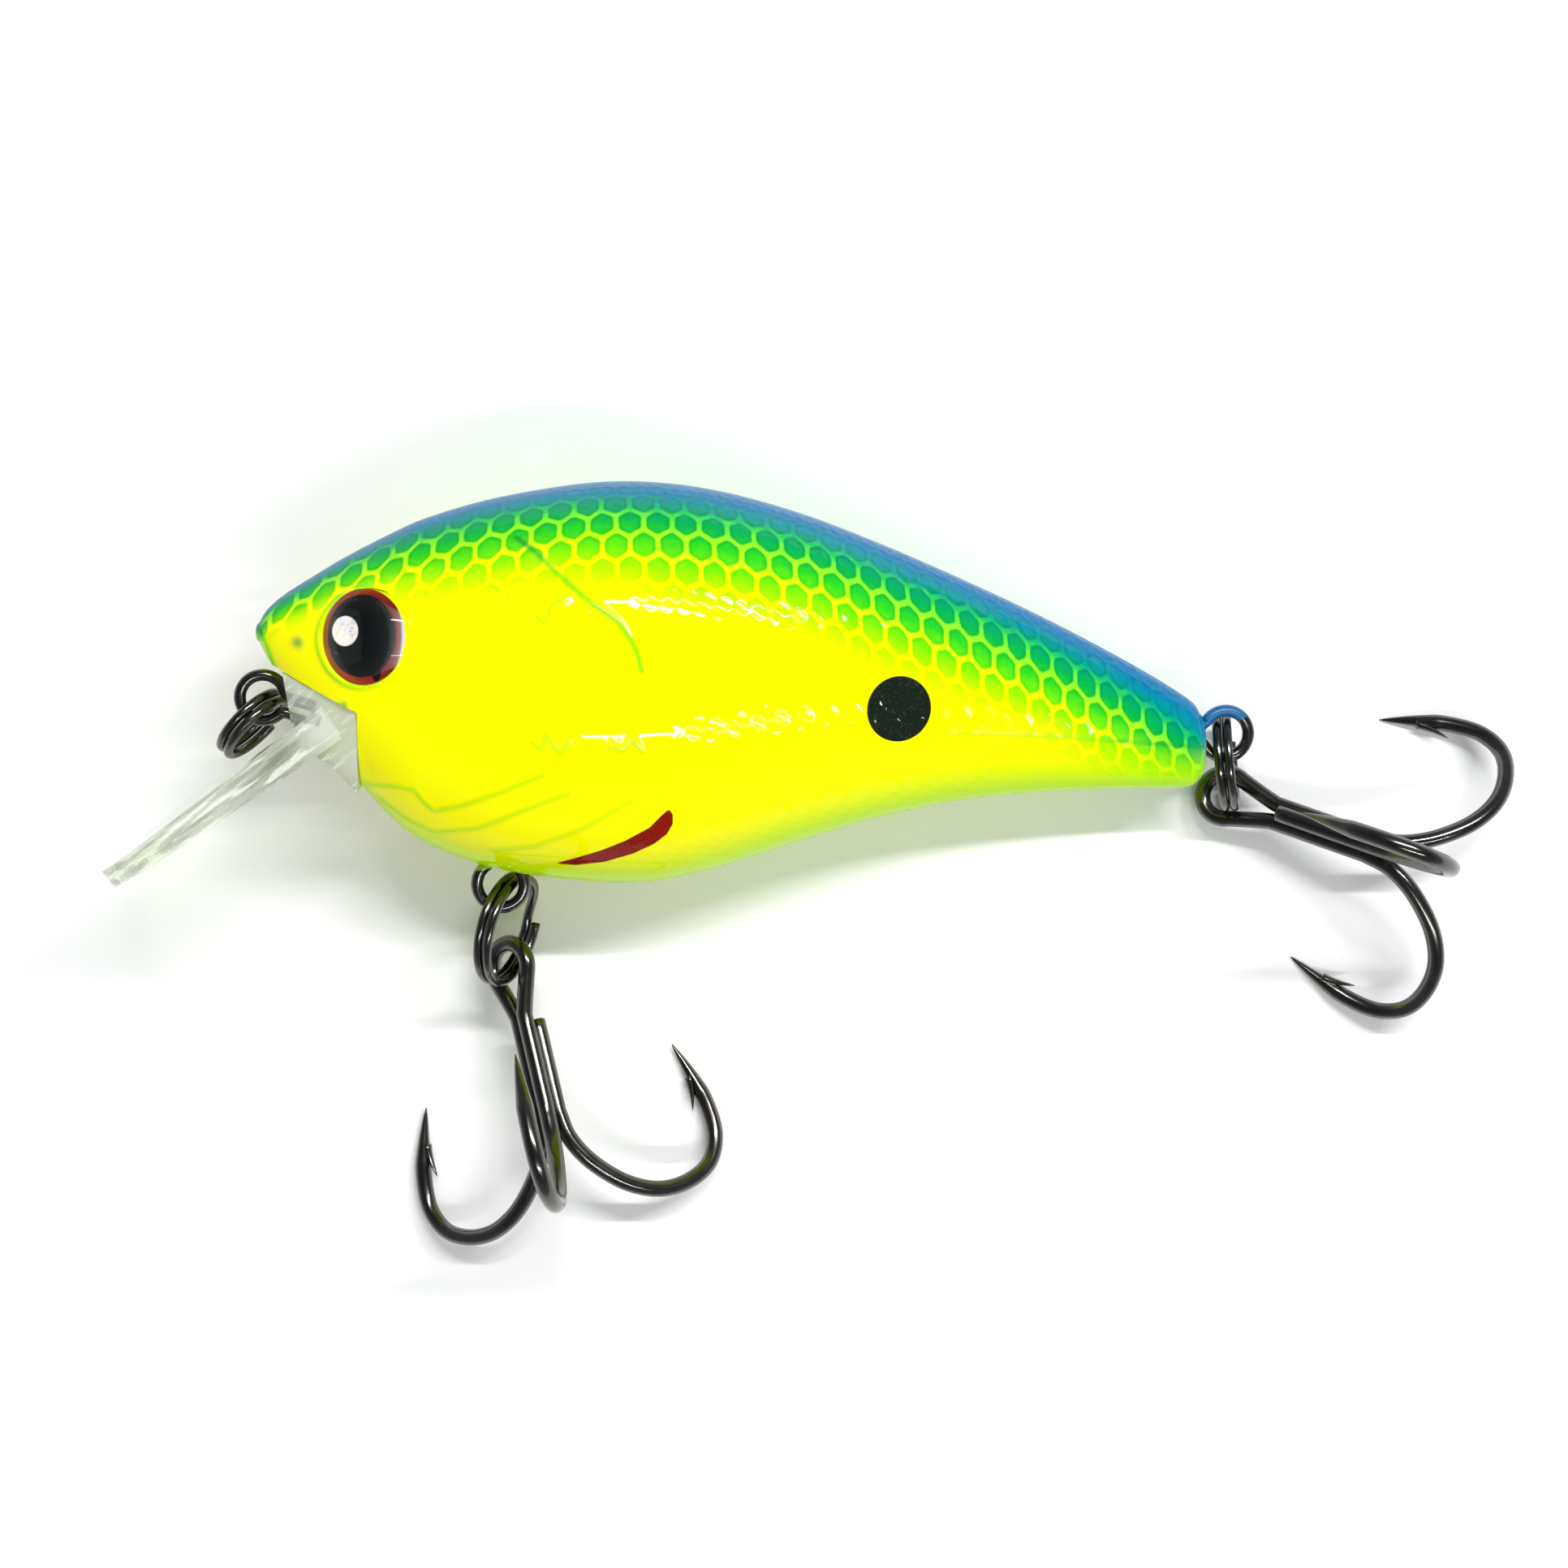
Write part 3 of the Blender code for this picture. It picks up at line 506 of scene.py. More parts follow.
def paint():
    """Chartreuse flank, hexagon net that fades from blue and green, printed marks, and painted
    shade in the grooves.
    """
    g = Graph("body_paint")
    skin = g.attribute("skin")
    fade = g.split("skin")[2]
    dot, slash, groove = g.split("marks")
    belly, tail, nostril_shade = g.split("shade")
    reach = hexagon_net(g, skin)
    inside = g.step(reach, 0.452, 0.372)
    rim = g.step(reach, 0.24, 0.38)

    mottled = g.math("SUBTRACT", g.noise(1.6, 3.0, skin), 0.5)
    fade_here = g.math("ADD", fade, g.times(mottled, 0.10))
    cells = g.ramp(fade_here, (
        (0.0, srgb(0, 104, 172)), (0.20, srgb(0, 114, 168)), (0.29, srgb(0, 136, 148)),
        (0.37, srgb(0, 144, 106)), (0.48, srgb(4, 166, 66)), (0.58, srgb(40, 196, 30)),
        (0.70, srgb(112, 220, 6)), (0.84, srgb(196, 240, 0)), (1.0, YELLOW)))
    lines = g.ramp(fade_here, (
        (0.0, srgb(0, 104, 172)), (0.24, srgb(0, 122, 164)), (0.33, srgb(0, 150, 128)),
        (0.40, srgb(40, 190, 80)), (0.48, srgb(112, 226, 44)), (0.62, srgb(186, 242, 14)),
        (0.76, YELLOW)))
    colour = g.mix(inside, lines, cells)

    # Darker cell rims, painted shade for an embossed look, and grain, only where there is ink.
    inked = g.step(fade_here, 0.85, 0.6)
    grain = g.noise(7.0, 2.0, skin)
    painted_rim_shade = g.times(g.times(rim, inked), g.times(inside, 0.5))
    flecks = g.times(g.step(grain, 0.52, 0.72), g.times(inked, 0.4))
    for amount, tint in ((painted_rim_shade, (0.35, 0.72, 0.5, 1.0)), (flecks, (0.5, 0.8, 0.6, 1.0))):
        colour = g.mix(amount, colour, g.mix(1.0, colour, tint, "MULTIPLY"))

    pale = g.times(tail, g.step(fade_here, 0.5, 0.8))
    # Painted shade in the moulded grooves and nostrils, greener and darker where there is ink.
    groove_shade_colour = g.mix(inked, srgb(84, 208, 14), srgb(6, 134, 60))
    red = g.mix(g.step(grain, 0.35, 0.7), srgb(146, 24, 4), srgb(112, 18, 6))
    black = g.mix(g.step(grain, 0.55, 0.7), srgb(24, 32, 24), srgb(44, 56, 42))
    for amount, over in (
            (g.times(belly, 0.9), srgb(180, 236, 0)), (g.times(pale, 0.5), srgb(176, 238, 0)),
            (g.times(groove, 0.85), groove_shade_colour), (g.times(nostril_shade, 0.8), srgb(20, 140, 70)),
            (g.step(slash, 0.03, -0.03), red), (g.step(dot, 0.03, -0.03), black)):
        colour = g.mix(amount, colour, over)
    g.set(Base_Color=colour, Roughness=g.math("ADD", 0.35, g.times(grain, 0.1)))
    g.set(Emission_Color=colour, Emission_Strength=0.12)     # fluorescent paint; the glow is also painted light that lifts the shaded lower flank
    g.set(Specular_IOR_Level=0.0, Coat_Weight=0.6, Coat_IOR=1.36, Coat_Roughness=0.008)
    g.bump(grain, 0.12, 0.00002)
    return g.material


def see_through(g, tint):
    """Lets light through the clear plastic, so that it throws only a faint shadow."""
    clear = g.node("BsdfTransparent")
    clear.inputs["Color"].default_value = tint
    chooser = g.node("MixShader")
    path = g.node("LightPath")
    out = g.tree.nodes["Material Output"]
    g.feed(chooser.inputs[0], path.outputs["Is Shadow Ray"])
    g.feed(chooser.inputs[1], g.shader.outputs[0])
    g.feed(chooser.inputs[2], clear.outputs[0])
    g.feed(out.inputs["Surface"], chooser.outputs[0])


def clear_plastic(name, tint, roughness, shadow, bend=1.33, streaked=False):
    """The lip's is streaked, with painted highlights on its edges, and pale and cloudy at its root,
    painted light on the block in the throat.
    """
    g = Graph(name)
    flow = g.noise(260.0, 3.0)
    colour = g.mix(flow, tint, tuple(c * 0.97 for c in tint[:3]) + (1.0,))
    clear = 1.0
    if streaked:        # flow lines along the lip, which darkens to its tip, and painted highlights on its edges
        stretched = g.vector("MULTIPLY", g.attribute("moulded"), (0.14, 3.0, 1.6))
        flow = g.noise(1.0, 3.0, stretched)
        along = g.split("moulded")[0]
        depth = g.math("ADD", g.step(along, 7.0, 16.0), g.step(along, 3.0, -1.5))
        colour = g.mix(g.times(depth, 0.6), colour, (0.50, 0.56, 0.45, 1.0))
        facing = g.vector("DOT_PRODUCT", g.node("NewGeometry").outputs["Normal"], tuple(LEFT))
        edge = g.step(g.math("ABSOLUTE", facing), 0.35, 0.75)
        dark = g.times(g.step(flow, 0.54, 0.62), g.math("ADD", 0.08, edge))
        colour = g.mix(g.times(dark, 0.7), colour, (0.40, 0.44, 0.36, 1.0))
        # Painted highlights: pale, less clear streaks, strongest on the edges.
        bright = g.times(g.step(flow, 0.47, 0.40), g.math("ADD", 0.06, edge))
        # Painted light: the root is pale and cloudy so that the block in the throat looks lit.
        root = g.step(along, 3.4, 0.4)
        colour = g.mix(g.math("MAXIMUM", bright, root), colour, (0.93, 0.97, 0.88, 1.0))
        cloudy = g.math("MAXIMUM", g.times(bright, 0.5), g.times(root, 0.42))
        clear = g.math("SUBTRACT", 1.0, cloudy)
    g.set(Base_Color=colour, Transmission_Weight=clear, IOR=bend,
          Roughness=g.math("ADD", roughness, g.times(flow, 0.004)))
    g.bump(flow, 0.1, 0.00004)
    see_through(g, shadow)
    return g.material


def ellipse(g, here, x, y, half_x, half_y):
    """Distance from the middle of an ellipse: 1 at its edge."""
    offset = g.vector("SUBTRACT", here, (x, y, 0.0))
    return g.vector("LENGTH", g.vector("DIVIDE", offset, (half_x, half_y, 1.0)))


def eye_foil():
    """Dark red iris, black pupil with a small point, and a silver dot that shimmers."""
    g = Graph("eye_foil")
    here = g.attribute("iris")
    shimmer = g.noise(2.6, 3.0, here)
    pupil = g.math("MAXIMUM", g.step(ellipse(g, here, *PUPIL), 1.02, 0.97),
                   g.step(ellipse(g, here, *NOTCH), 1.05, 0.9))
    iris = g.ramp(ellipse(g, here, 0.0, 0.0, EYE_RADIUS, EYE_RADIUS), (
        (0.0, srgb(80, 18, 10)), (0.72, srgb(104, 22, 12)), (0.9, srgb(122, 34, 16)),
        (1.0, srgb(54, 14, 10))))
    iris = g.mix(g.times(shimmer, 0.5), iris, srgb(96, 22, 12))
    colour = g.mix(pupil, iris, srgb(5, 8, 8))
    glint = g.step(ellipse(g, here, *GLINT), 1.054, 0.946)
    rainbow = g.ramp(shimmer, (
        (0.3, srgb(150, 150, 240)), (0.45, srgb(250, 250, 255)), (0.55, srgb(255, 236, 214)),
        (0.7, srgb(180, 225, 240))))
    g.set(Base_Color=g.mix(glint, colour, rainbow), Metallic=g.times(glint, 0.6),
          Roughness=0.3, Specular_IOR_Level=0.05)
    return g.material


def wire_metal(name, painted=False):
    """Black nickel plating, or the same under paint that was sprayed over it."""
    g = Graph(name)
    wear = g.noise(700.0, 3.0)
    colour = g.mix(wear, srgb(88, 86, 84), srgb(118, 114, 110))
    rough = g.math("ADD", 0.13, g.times(wear, 0.12))
    g.bump(g.noise(1800.0, 2.0), 0.15, 0.00001)
    metal = 1.0
    if painted:
        cover, blue, _ = g.split("spray")
        uneven = g.times(g.math("SUBTRACT", wear, 0.5), 0.5)
        patchy = g.step(g.math("ADD", cover, uneven), 0.42, 0.58)
        coat = g.mix(blue, srgb(150, 190, 14), srgb(14, 96, 150))
        colour = g.mix(patchy, colour, coat)
        metal = g.math("SUBTRACT", 1.0, patchy)
        rough = g.math("ADD", rough, g.times(patchy, 0.15))
    g.set(Base_Color=colour, Metallic=metal, Roughness=rough)
    return g.material


def plain_metal(name, light, dark, roughness):
    g = Graph(name)
    grain = g.noise(500.0, 3.0)
    g.set(Base_Color=g.mix(grain, light, dark), Metallic=1.0, Roughness=roughness)
    g.bump(grain, 0.2, 0.00003)
    return g.material


# ---- Body ----
def section(height, width):
    """Rounded section from the cosine and sine of the angle from its back."""
    return (np.sign(height) * np.abs(height) ** (2 / ROUNDNESS),
            np.abs(width) ** (2 / ROUNDNESS))


def running_length(v, w):
    """Length along each row of points from its start."""
    steps = np.hypot(np.diff(v, axis=1), np.diff(w, axis=1))
    return np.concatenate((np.zeros((len(v), 1)), np.cumsum(steps, axis=1)), axis=1)


def hexagon(x, y):
    """Distance from the middle of the nearest cell: 0 there, 0.5 at its border."""
    best = None
    for dx, dy in ((0.0, 0.0), (0.5, HEX_TALL)):
        cx = np.mod(x - dx + 0.5, 1.0) - 0.5
        cy = np.mod(y - dy + HEX_TALL, 2 * HEX_TALL) - HEX_TALL
        away = np.hypot(cx, cy)
        edge = np.maximum(np.abs(cx), 0.5 * np.abs(cx) + HEX_TALL * np.abs(cy))
        best = (away, edge) if best is None else (
            np.minimum(away, best[0]), np.where(away < best[0], edge, best[1]))
    return best[1]


def line_distance(u, v, points):
    """Distance in (u, v) from each point to a line through the given ones."""
    best = np.full(np.shape(u), 1e9)
    for (ua, va), (ub, vb) in zip(points, points[1:]):
        du, dv = ub - ua, vb - va
        t = np.clip(((u - ua) * du + (v - va) * dv) / (du * du + dv * dv), 0.0, 1.0)
        best = np.minimum(best, np.hypot(u - ua - t * du, v - va - t * dv))
    return best


def inside_outline(u, v, points):
    inside = np.zeros(np.shape(u), bool)
    for (ua, va), (ub, vb) in zip(points, points[1:] + points[:1]):
        crosses = (va > v) != (vb > v)
        with np.errstate(divide="ignore", invalid="ignore"):
            reach = ua + (v - va) * (ub - ua) / (vb - va)
        inside ^= crosses & (u < reach)
    return inside


def eye_frame(side):
    """Point on the skin under the eye's middle, and the way that the eye looks."""
    top, bottom, half = station(EYE_U)
    rise = (EYE_V - (top + bottom) / 2) / ((top - bottom) / 2)
    out = (1 - abs(rise) ** ROUNDNESS) ** (1 / ROUNDNESS)
    turn, lift = math.radians(EYE_TURN), math.radians(EYE_LIFT)
    look = Vector((-math.sin(turn) * math.cos(lift), math.sin(lift),
                   side * math.cos(turn) * math.cos(lift)))
    return at(EYE_U, EYE_V, side * (0.05 + half * out)), LYING @ look


def socket_distance(points, side):
    """Distance from the axis of the eye, for world points."""
    spot, gaze = eye_frame(side)
    reach = points - np.array(spot)
    along = reach @ np.array(gaze)
    return np.linalg.norm(reach - along[..., None] * np.array(gaze), axis=-1)


def relief(u, v, points, side, arc):
    """Height of the moulded detail over the smooth skin."""
    def line_at(line):
        return np.interp(-v, [-p[1] for p in line], [p[0] for p in line])

    front, bottom = line_at(SCALE_FRONT), station(u)[1]
    ready = smooth_step((u - front) / 2.2) * smooth_step((v - bottom - 0.4) / 1.5)
    ready *= smooth_step((54.5 - u) / 2.0)
    cell = hexagon(u / SCALE_PITCH, arc / SCALE_PITCH * 1.04)
    height = SCALE_HEIGHT * ready * (1.0 - smooth_step((cell - 0.3) / 0.18) * 1.1)
    for depth, half, line in GILL_LINES:
        away = line_distance(u, v, line)
        height = height - depth * np.exp(-(away / half) ** 2)
    for nu, nv, radius in NOSTRILS:
        height = height - NOSTRIL_DEPTH * np.exp(-(np.hypot(u - nu, v - nv) / radius) ** 2)
    ring = socket_distance(points, side)
    height = height - SOCKET_GROOVE * np.exp(-((ring - SOCKET_RING) / 0.14) ** 2)
    # The gill cover stands a little over the flank behind it.
    edge = line_at(GILL_LINES[0][2])
    plate = smooth_step((edge - u) / 0.3) * smooth_step((u - edge + 3.0) / 2.6)
    plate *= smooth_step((v + 1.8) / 1.0) * smooth_step((5.8 - v) / 1.0)
    return height + COVER_RISE * plate


def skin_stations():
    """Section places and scales, with a rounded nose and tail end."""
    first, last = STATIONS[0][0], STATIONS[-1][0]
    middle = np.concatenate((np.linspace(first, 2.0, 26)[:-1],
                             np.arange(2.0, last - 1.0, SKIN_STEP),
                             np.linspace(last - 1.0, last, 14)))
    angles = np.radians(np.linspace(BULGE_FROM, BULGE_TO, BULGE_ROWS))
    rows = [(first, -NOSE_BULGE * math.sin(a), math.cos(a)) for a in angles]
    rows += [(u, 0.0, 1.0) for u in middle]
    rows += [(last, TAIL_BULGE * math.sin(a), math.cos(a) ** 0.55) for a in angles[::-1]]
    return np.array(rows)


def half_points(side, inset=0.0, rows=None, sides=SKIN_SIDES, detail=True):
    """World points of one half, as a grid from nose to tail and back to belly."""
    rows = skin_stations() if rows is None else rows
    u = rows[:, 0]
    top, bottom, half = station(u)
    scale = rows[:, 2]
    middle, reach, half = (top + bottom) / 2, (top - bottom) / 2 - inset, half - inset
    angle = np.pi / 2 - np.pi * np.arange(sides + 1) / sides
    rise, out = section(np.sin(angle), np.cos(angle))
    out[0] = out[-1] = 0.0
    v = middle[:, None] + (reach * scale)[:, None] * rise
    w = SEAM + (half * scale)[:, None] * out
    u = np.repeat((u + rows[:, 1])[:, None], sides + 1, axis=1)
    local = np.stack((u, v, side * w), axis=-1)
    if detail:
        normal = np.cross(np.gradient(local, axis=0), np.gradient(local, axis=1)) * side
        normal /= np.maximum(np.linalg.norm(normal, axis=-1, keepdims=True), 1e-9)
        height = relief(u, v, to_world(local), side, running_length(v, w))
        height[:, (0, -1)] = 0.0
        local = local + normal * height[..., None]
        local[..., 2] = side * np.maximum(side * local[..., 2], SEAM)
    return to_world(local)


def half_solid(name, side, past_seam=0.0, **shape):
    """Closed half of the body with a flat face on the parting plane."""
    grid = half_points(side, **shape)
    if past_seam:
        step = np.array(LEFT) * side * past_seam
        grid = np.concatenate((grid[:, :1] - step, grid, grid[:, -1:] - step), axis=1)
    return mesh_piece(name, grid.reshape(-1, 3), grid_faces(*grid.shape[:2]))


def arc_from_back(u, v, fine):
    """Length round the section from the back."""
    top, bottom, half = station(fine)
    angle = np.linspace(0.0, np.pi, 161)
    rise, out = section(np.cos(angle), np.sin(angle))
    heights = (top + bottom)[:, None] / 2 + (top - bottom)[:, None] / 2 * rise
    arcs = running_length(heights, half[:, None] * out)
    table = np.array([np.interp(np.linspace(0, 1, LOOKUP), (1 - rise) / 2, arc)
                      for arc in arcs])
    top_here, bottom_here = np.interp(u, fine, top), np.interp(u, fine, bottom)
    share = np.clip((top_here - v) / (top_here - bottom_here), 0.0, 1.0)
    end = LOOKUP - 1.001
    row = np.clip((u - fine[0]) / (fine[-1] - fine[0]) * (LOOKUP - 1), 0, end)
    column = share * end
    r0, c0 = row.astype(int), column.astype(int)
    fr, fc = row - r0, column - c0
    return ((table[r0, c0] * (1 - fc) + table[r0, c0 + 1] * fc) * (1 - fr)
            + (table[r0 + 1, c0] * (1 - fc) + table[r0 + 1, c0 + 1] * fc) * fr)


def skin_attributes(piece, side):
    """Where each point of the skin is, for the paint."""
    points = world_points(piece)
    u, v, _ = to_local(points).T
    fine = np.linspace(STATIONS[0][0], STATIONS[-1][0], LOOKUP)
    top, bottom, _ = station(fine)
    arc = arc_from_back(u, v, fine)
    # The rows of the net follow the slope of the back behind the hump.
    slope = np.gradient(top, fine)
    run = np.concatenate(([0.0], np.cumsum(np.sqrt(1 + slope[1:] ** 2 * smooth_step(
        (fine[1:] - 24.0) / 8.0)) * np.diff(fine))))
    along = np.interp(u, fine, run)
    fade = arc / np.interp(u, *np.array(FADE_REACH).T)
    down = arc - NET_DROP + NET_SLANT * (u - 25.0)
    set_attribute(piece, "skin", along, down, fade)

    dot = np.hypot(u - DOT[0], v - DOT[1]) - DOT[2]
    away = line_distance(u, v, SLASH + SLASH[:1])
    slash = np.where(inside_outline(u, v, SLASH), -away, away)
    # Painted shade along the moulded lines, stronger where they are deeper.
    groove = np.zeros(len(u))
    for depth, _, line in GILL_LINES:
        shade = min(1.0, depth / 0.09) * np.exp(-(line_distance(u, v, line) / 0.16) ** 2)
        groove = np.maximum(groove, shade)
    # Painted shade in the groove round the eye, darker towards the nose and the belly.
    ring = socket_distance(points, side)
    groove = np.maximum(groove, np.exp(-((ring - SOCKET_RING) / 0.13) ** 2) * np.clip(
        0.45 - 0.16 * (u - EYE_U) - 0.07 * (v - EYE_V), 0.1, 1.0))
    set_attribute(piece, "marks", dot, slash, groove)

    low = v - np.interp(u, fine, bottom)
    belly = 1.0 - smooth_step(low / np.interp(u, (0, 10, 30, 55), (1.0, 2.2, 4.0, 3.0)))
    tail = smooth_step((u - 44.0) / 11.0)
    # Painted shade in the nostrils.
    nostril_shade = np.zeros(len(u))
    for nu, nv, radius in NOSTRILS:
        nostril_shade = np.maximum(nostril_shade, np.exp(-(np.hypot(u - nu, v - nv) / radius) ** 2))
    set_attribute(piece, "shade", belly, tail, nostril_shade)


def body_half(name, side, look):
    shell = half_solid(name, side)
    spot, gaze = eye_frame(side)
    pocket = mesh_piece("pocket", *turned(
        ((0.0, EYE_RADIUS + EYE_GAP), (6.0, EYE_RADIUS + EYE_GAP)),
        spot - gaze * EYE_DEPTH, gaze))
    hollow_rows = np.array([(u, 0.0, 1.0) for u in np.linspace(*CAVITY, 30)])
    hollow = half_solid("hollow", side, past_seam=0.5, inset=WALL, rows=hollow_rows,
                        sides=30, detail=False)
    throat = mesh_piece("throat", *prism(THROAT, (12.0,) * 4))
    carve(shell, [pocket, hollow, throat])
    shell.data.name = name
    skin_attributes(shell, side)
    dress(shell, look, 38.0)
    return shell


# ---- Eyes ----
def eye(label, side, foil, lens):
    spot, gaze = eye_frame(side)
    seat = spot - gaze * (EYE_DEPTH - EYE_GAP)
    disc = mesh_piece(label + "_eye_foil_disc", *turned(
        ((0.0, EYE_RADIUS - RIM), (RIM, EYE_RADIUS), (DISC_THICK - RIM, EYE_RADIUS),
         (DISC_THICK, EYE_RADIUS - RIM), (DISC_THICK, EYE_RADIUS * 0.5), (DISC_THICK, 0.0)),
        seat, gaze), look=foil, smooth=False)
    up = (BACK - gaze * BACK.dot(gaze)).normalized()
    to_tail = up.cross(gaze) * side
    reach = world_points(disc) - np.array(seat)
    set_attribute(disc, "iris", reach @ np.array(to_tail), reach @ np.array(up))
    base = seat + gaze * (DISC_THICK + EYE_GAP)
    ball = (EYE_RADIUS ** 2 + DOME_RISE ** 2) / (2 * DOME_RISE)
    profile = [(0.0, 0.0), (0.0, EYE_RADIUS - 0.05), (0.05, EYE_RADIUS)]
    for k in range(17):
        out = EYE_RADIUS * math.cos(math.pi / 2 * k / 16)
        profile.append((DOME_RIM + math.sqrt(ball ** 2 - out ** 2) - ball + DOME_RISE, out))
    profile[-1] = (DOME_RIM + DOME_RISE, 0.0)
    dome = mesh_piece(label + "_eye_lens", *turned(profile, base, gaze, 96), look=lens)
    dome.data.set_sharp_from_angle(angle=math.radians(50.0))
    return disc, dome


# ---- Lip ----
def lip_outline(steps=22):
    """Half outline of the lip from its root to its tip: (distance, half width)."""
    edge = [(0.0, LIP_HALF_ROOT)]
    edge += [(LIP_WIDE_AT * along, LIP_HALF_WIDE * wide) for along, wide in LIP_SHOULDER]
    reach = LIP_LENGTH - LIP_WIDE_AT
    for k in range(steps):
        angle = math.pi / 2 * k / (steps - 1)
        edge.append((LIP_WIDE_AT + reach * math.sin(angle) ** (2 / LIP_SQUARENESS),
                     LIP_HALF_WIDE * math.cos(angle) ** (2 / LIP_SQUARENESS)))
    edge[-1] = (LIP_LENGTH, 0.0)
    return edge


def lip(look):
    """Tapered paddle with the block at its root that fills the throat."""
    slope = math.radians(LIP_ANGLE)
    down = LYING @ Vector((-math.cos(slope), -math.sin(slope), 0.0))
    under = LYING @ Vector((math.sin(slope), -math.cos(slope), 0.0))
    edge = lip_outline()
    border = edge + [(s, -half) for s, half in reversed(edge[:-1])]
    root = at(*LIP_ROOT)
    top = [root + down * s + LEFT * half for s, half in border]
    thick = [LIP_THICK[0] + (LIP_THICK[1] - LIP_THICK[0]) * s / LIP_LENGTH
             for s, half in border]
    points = top + [p + under * t for p, t in zip(top, thick)]
    paddle = mesh_piece("clear_diving_lip", points, slab_faces(len(top)), smooth=False)
    head_slope = (THROAT[0][1] - THROAT[1][1]) / (THROAT[1][0] - THROAT[0][0])
    roof = [(u, THROAT[1][1] - EYE_GAP * 1.5 + head_slope * (THROAT[1][0] - u))
            for u in (BLOCK_FRONT, BLOCK_BACK)]
    tool = mesh_piece("block", *prism(tuple(roof) + BLOCK_UNDER, BLOCK_HALVES), smooth=False)
    carve(paddle, [tool], "UNION")
    reach = world_points(paddle) - np.array(root)
    set_attribute(paddle, "moulded", *(reach @ np.array(way) for way in (down, under, LEFT)))
    dress(paddle, look, 30.0)
    rounding = paddle.modifiers.new("Rounded edges", "BEVEL")
    rounding.width = LIP_ROUNDING * MM
    rounding.segments = 3
    rounding.limit_method = "ANGLE"
    rounding.angle_limit = math.radians(25.0)
    return paddle


# ---- Wire ----
def line_tie():
    """Eye of wire with two legs in the block."""
    centre = at(*TIE_EYE)
    back = heading(75.0)
    side = LEFT.cross(back)
    leg = TIE_LEG_GAP / 2
    opening = math.asin(leg / TIE_RADIUS)
    loop = swept(centre, TIE_RADIUS, back, side,
               np.linspace(opening, 2 * math.pi - opening, 64))
    legs = (TIE_LEG, TIE_LEG - 1.2, 2.0, 1.6)
    upper = [centre + back * d + side * leg for d in legs]
    lower = [centre + back * d - side * leg for d in reversed(legs)]
    return tube(upper + loop + lower, TIE_WIRE)


def hanger(name, eye_at, inward, look):
    """Figure of eight without a crossing, with overspray near the body."""
    outer = at(*eye_at)
    side = LEFT.cross(inward)
    opening = math.asin(HANGER_WAIST / HANGER_RADIUS)
    angles = np.linspace(opening, 2 * math.pi - opening, 56)
    inner = outer + inward * HANGER_PITCH
    path = (swept(outer, HANGER_RADIUS, inward, side, angles)
            + swept(inner, -HANGER_RADIUS, inward, side, angles))
    piece = mesh_piece(name, *tube(path, HANGER_WIRE, closed=True), look=look)
    points = world_points(piece)
    towards = (points - np.array(outer)) @ np.array(inward)
    upward = (points - np.array(outer)) @ np.array(BACK)
    at_belly = eye_at == BELLY_EYE
    spray = (towards - 0.2) / 1.4 if at_belly else (towards * 0.5 + upward + 0.1) / 1.2
    blue = np.full(len(points), float(not at_belly))
    set_attribute(piece, "spray", smooth_step(spray), blue)
    return piece


def split_ring(name, hinge, lie, look):
    """Two flat coils that change side over a short stretch."""
    offset, bearing, lean, radius = lie
    offset, bearing, lean = Vector(offset), math.radians(bearing), math.radians(lean)
    centre = hinge + offset
    normal = Vector((math.cos(bearing) * math.cos(lean), math.sin(bearing) * math.cos(lean),
                     math.sin(lean)))
    outward = (offset - normal * offset.dot(normal)).normalized()
    across = normal.cross(outward)
    path = []
    for degrees in np.linspace(RING_JOG, 720.0 - RING_JOG, 170):
        ease = smooth_step((degrees - 360.0 + RING_JOG) / (2 * RING_JOG)) - 0.5
        angle = math.radians(degrees) + math.pi / 2
        path.append(centre + radius * (outward * math.cos(angle) + across * math.sin(angle))
                    + normal * (RING_PITCH * ease))
    return mesh_piece(name, *tube(path, RING_WIRE, sides=16), look=look)


# ---- Treble hooks ----
def treble_frame(start, degrees, pitch):
    """Matrix from (along the shank, to the side, up) to the world, in millimetres."""
    flat = flat_heading(degrees)
    rise = math.radians(pitch)
    along = flat * math.cos(rise) + Vector((0, 0, math.sin(rise)))
    side = Vector((-flat.y, flat.x, 0.0))
    up = along.cross(side)
    matrix = Matrix((along, side, up)).transposed().to_4x4()
    matrix.translation = start
    return matrix


def unit(angle):
    return Vector((math.cos(angle), math.sin(angle)))


def hook_path(angle, starts_at):
    """One hook's wire, from shank to point, at an angle round the axis."""
    out_side, out_up = math.cos(angle), math.sin(angle)
    shank = [(a, SHANK_OFFSET) for a in np.linspace(starts_at, HOOK_CURVE[0][0], 12)[:-1]]
    curve = shank + spline(HOOK_CURVE, 9)
    return [Vector((a, r * out_side, r * out_up)) for a, r in curve]


def wire_radii(path, tapered_ends):
    """Radius along a wire that is sharpened at one end or both."""
    lengths = [0.0]
    for before, after in zip(path, path[1:]):
        lengths.append(lengths[-1] + (after - before).length)
    total = lengths[-1]
    radii = []
    for here in lengths:
        left = total - here if tapered_ends == 1 else min(here, total - here)
        radii.append(HOOK_WIRE * min(1.0, 0.05 + 0.95 * (left / POINT_TAPER) ** 0.8))
    return radii


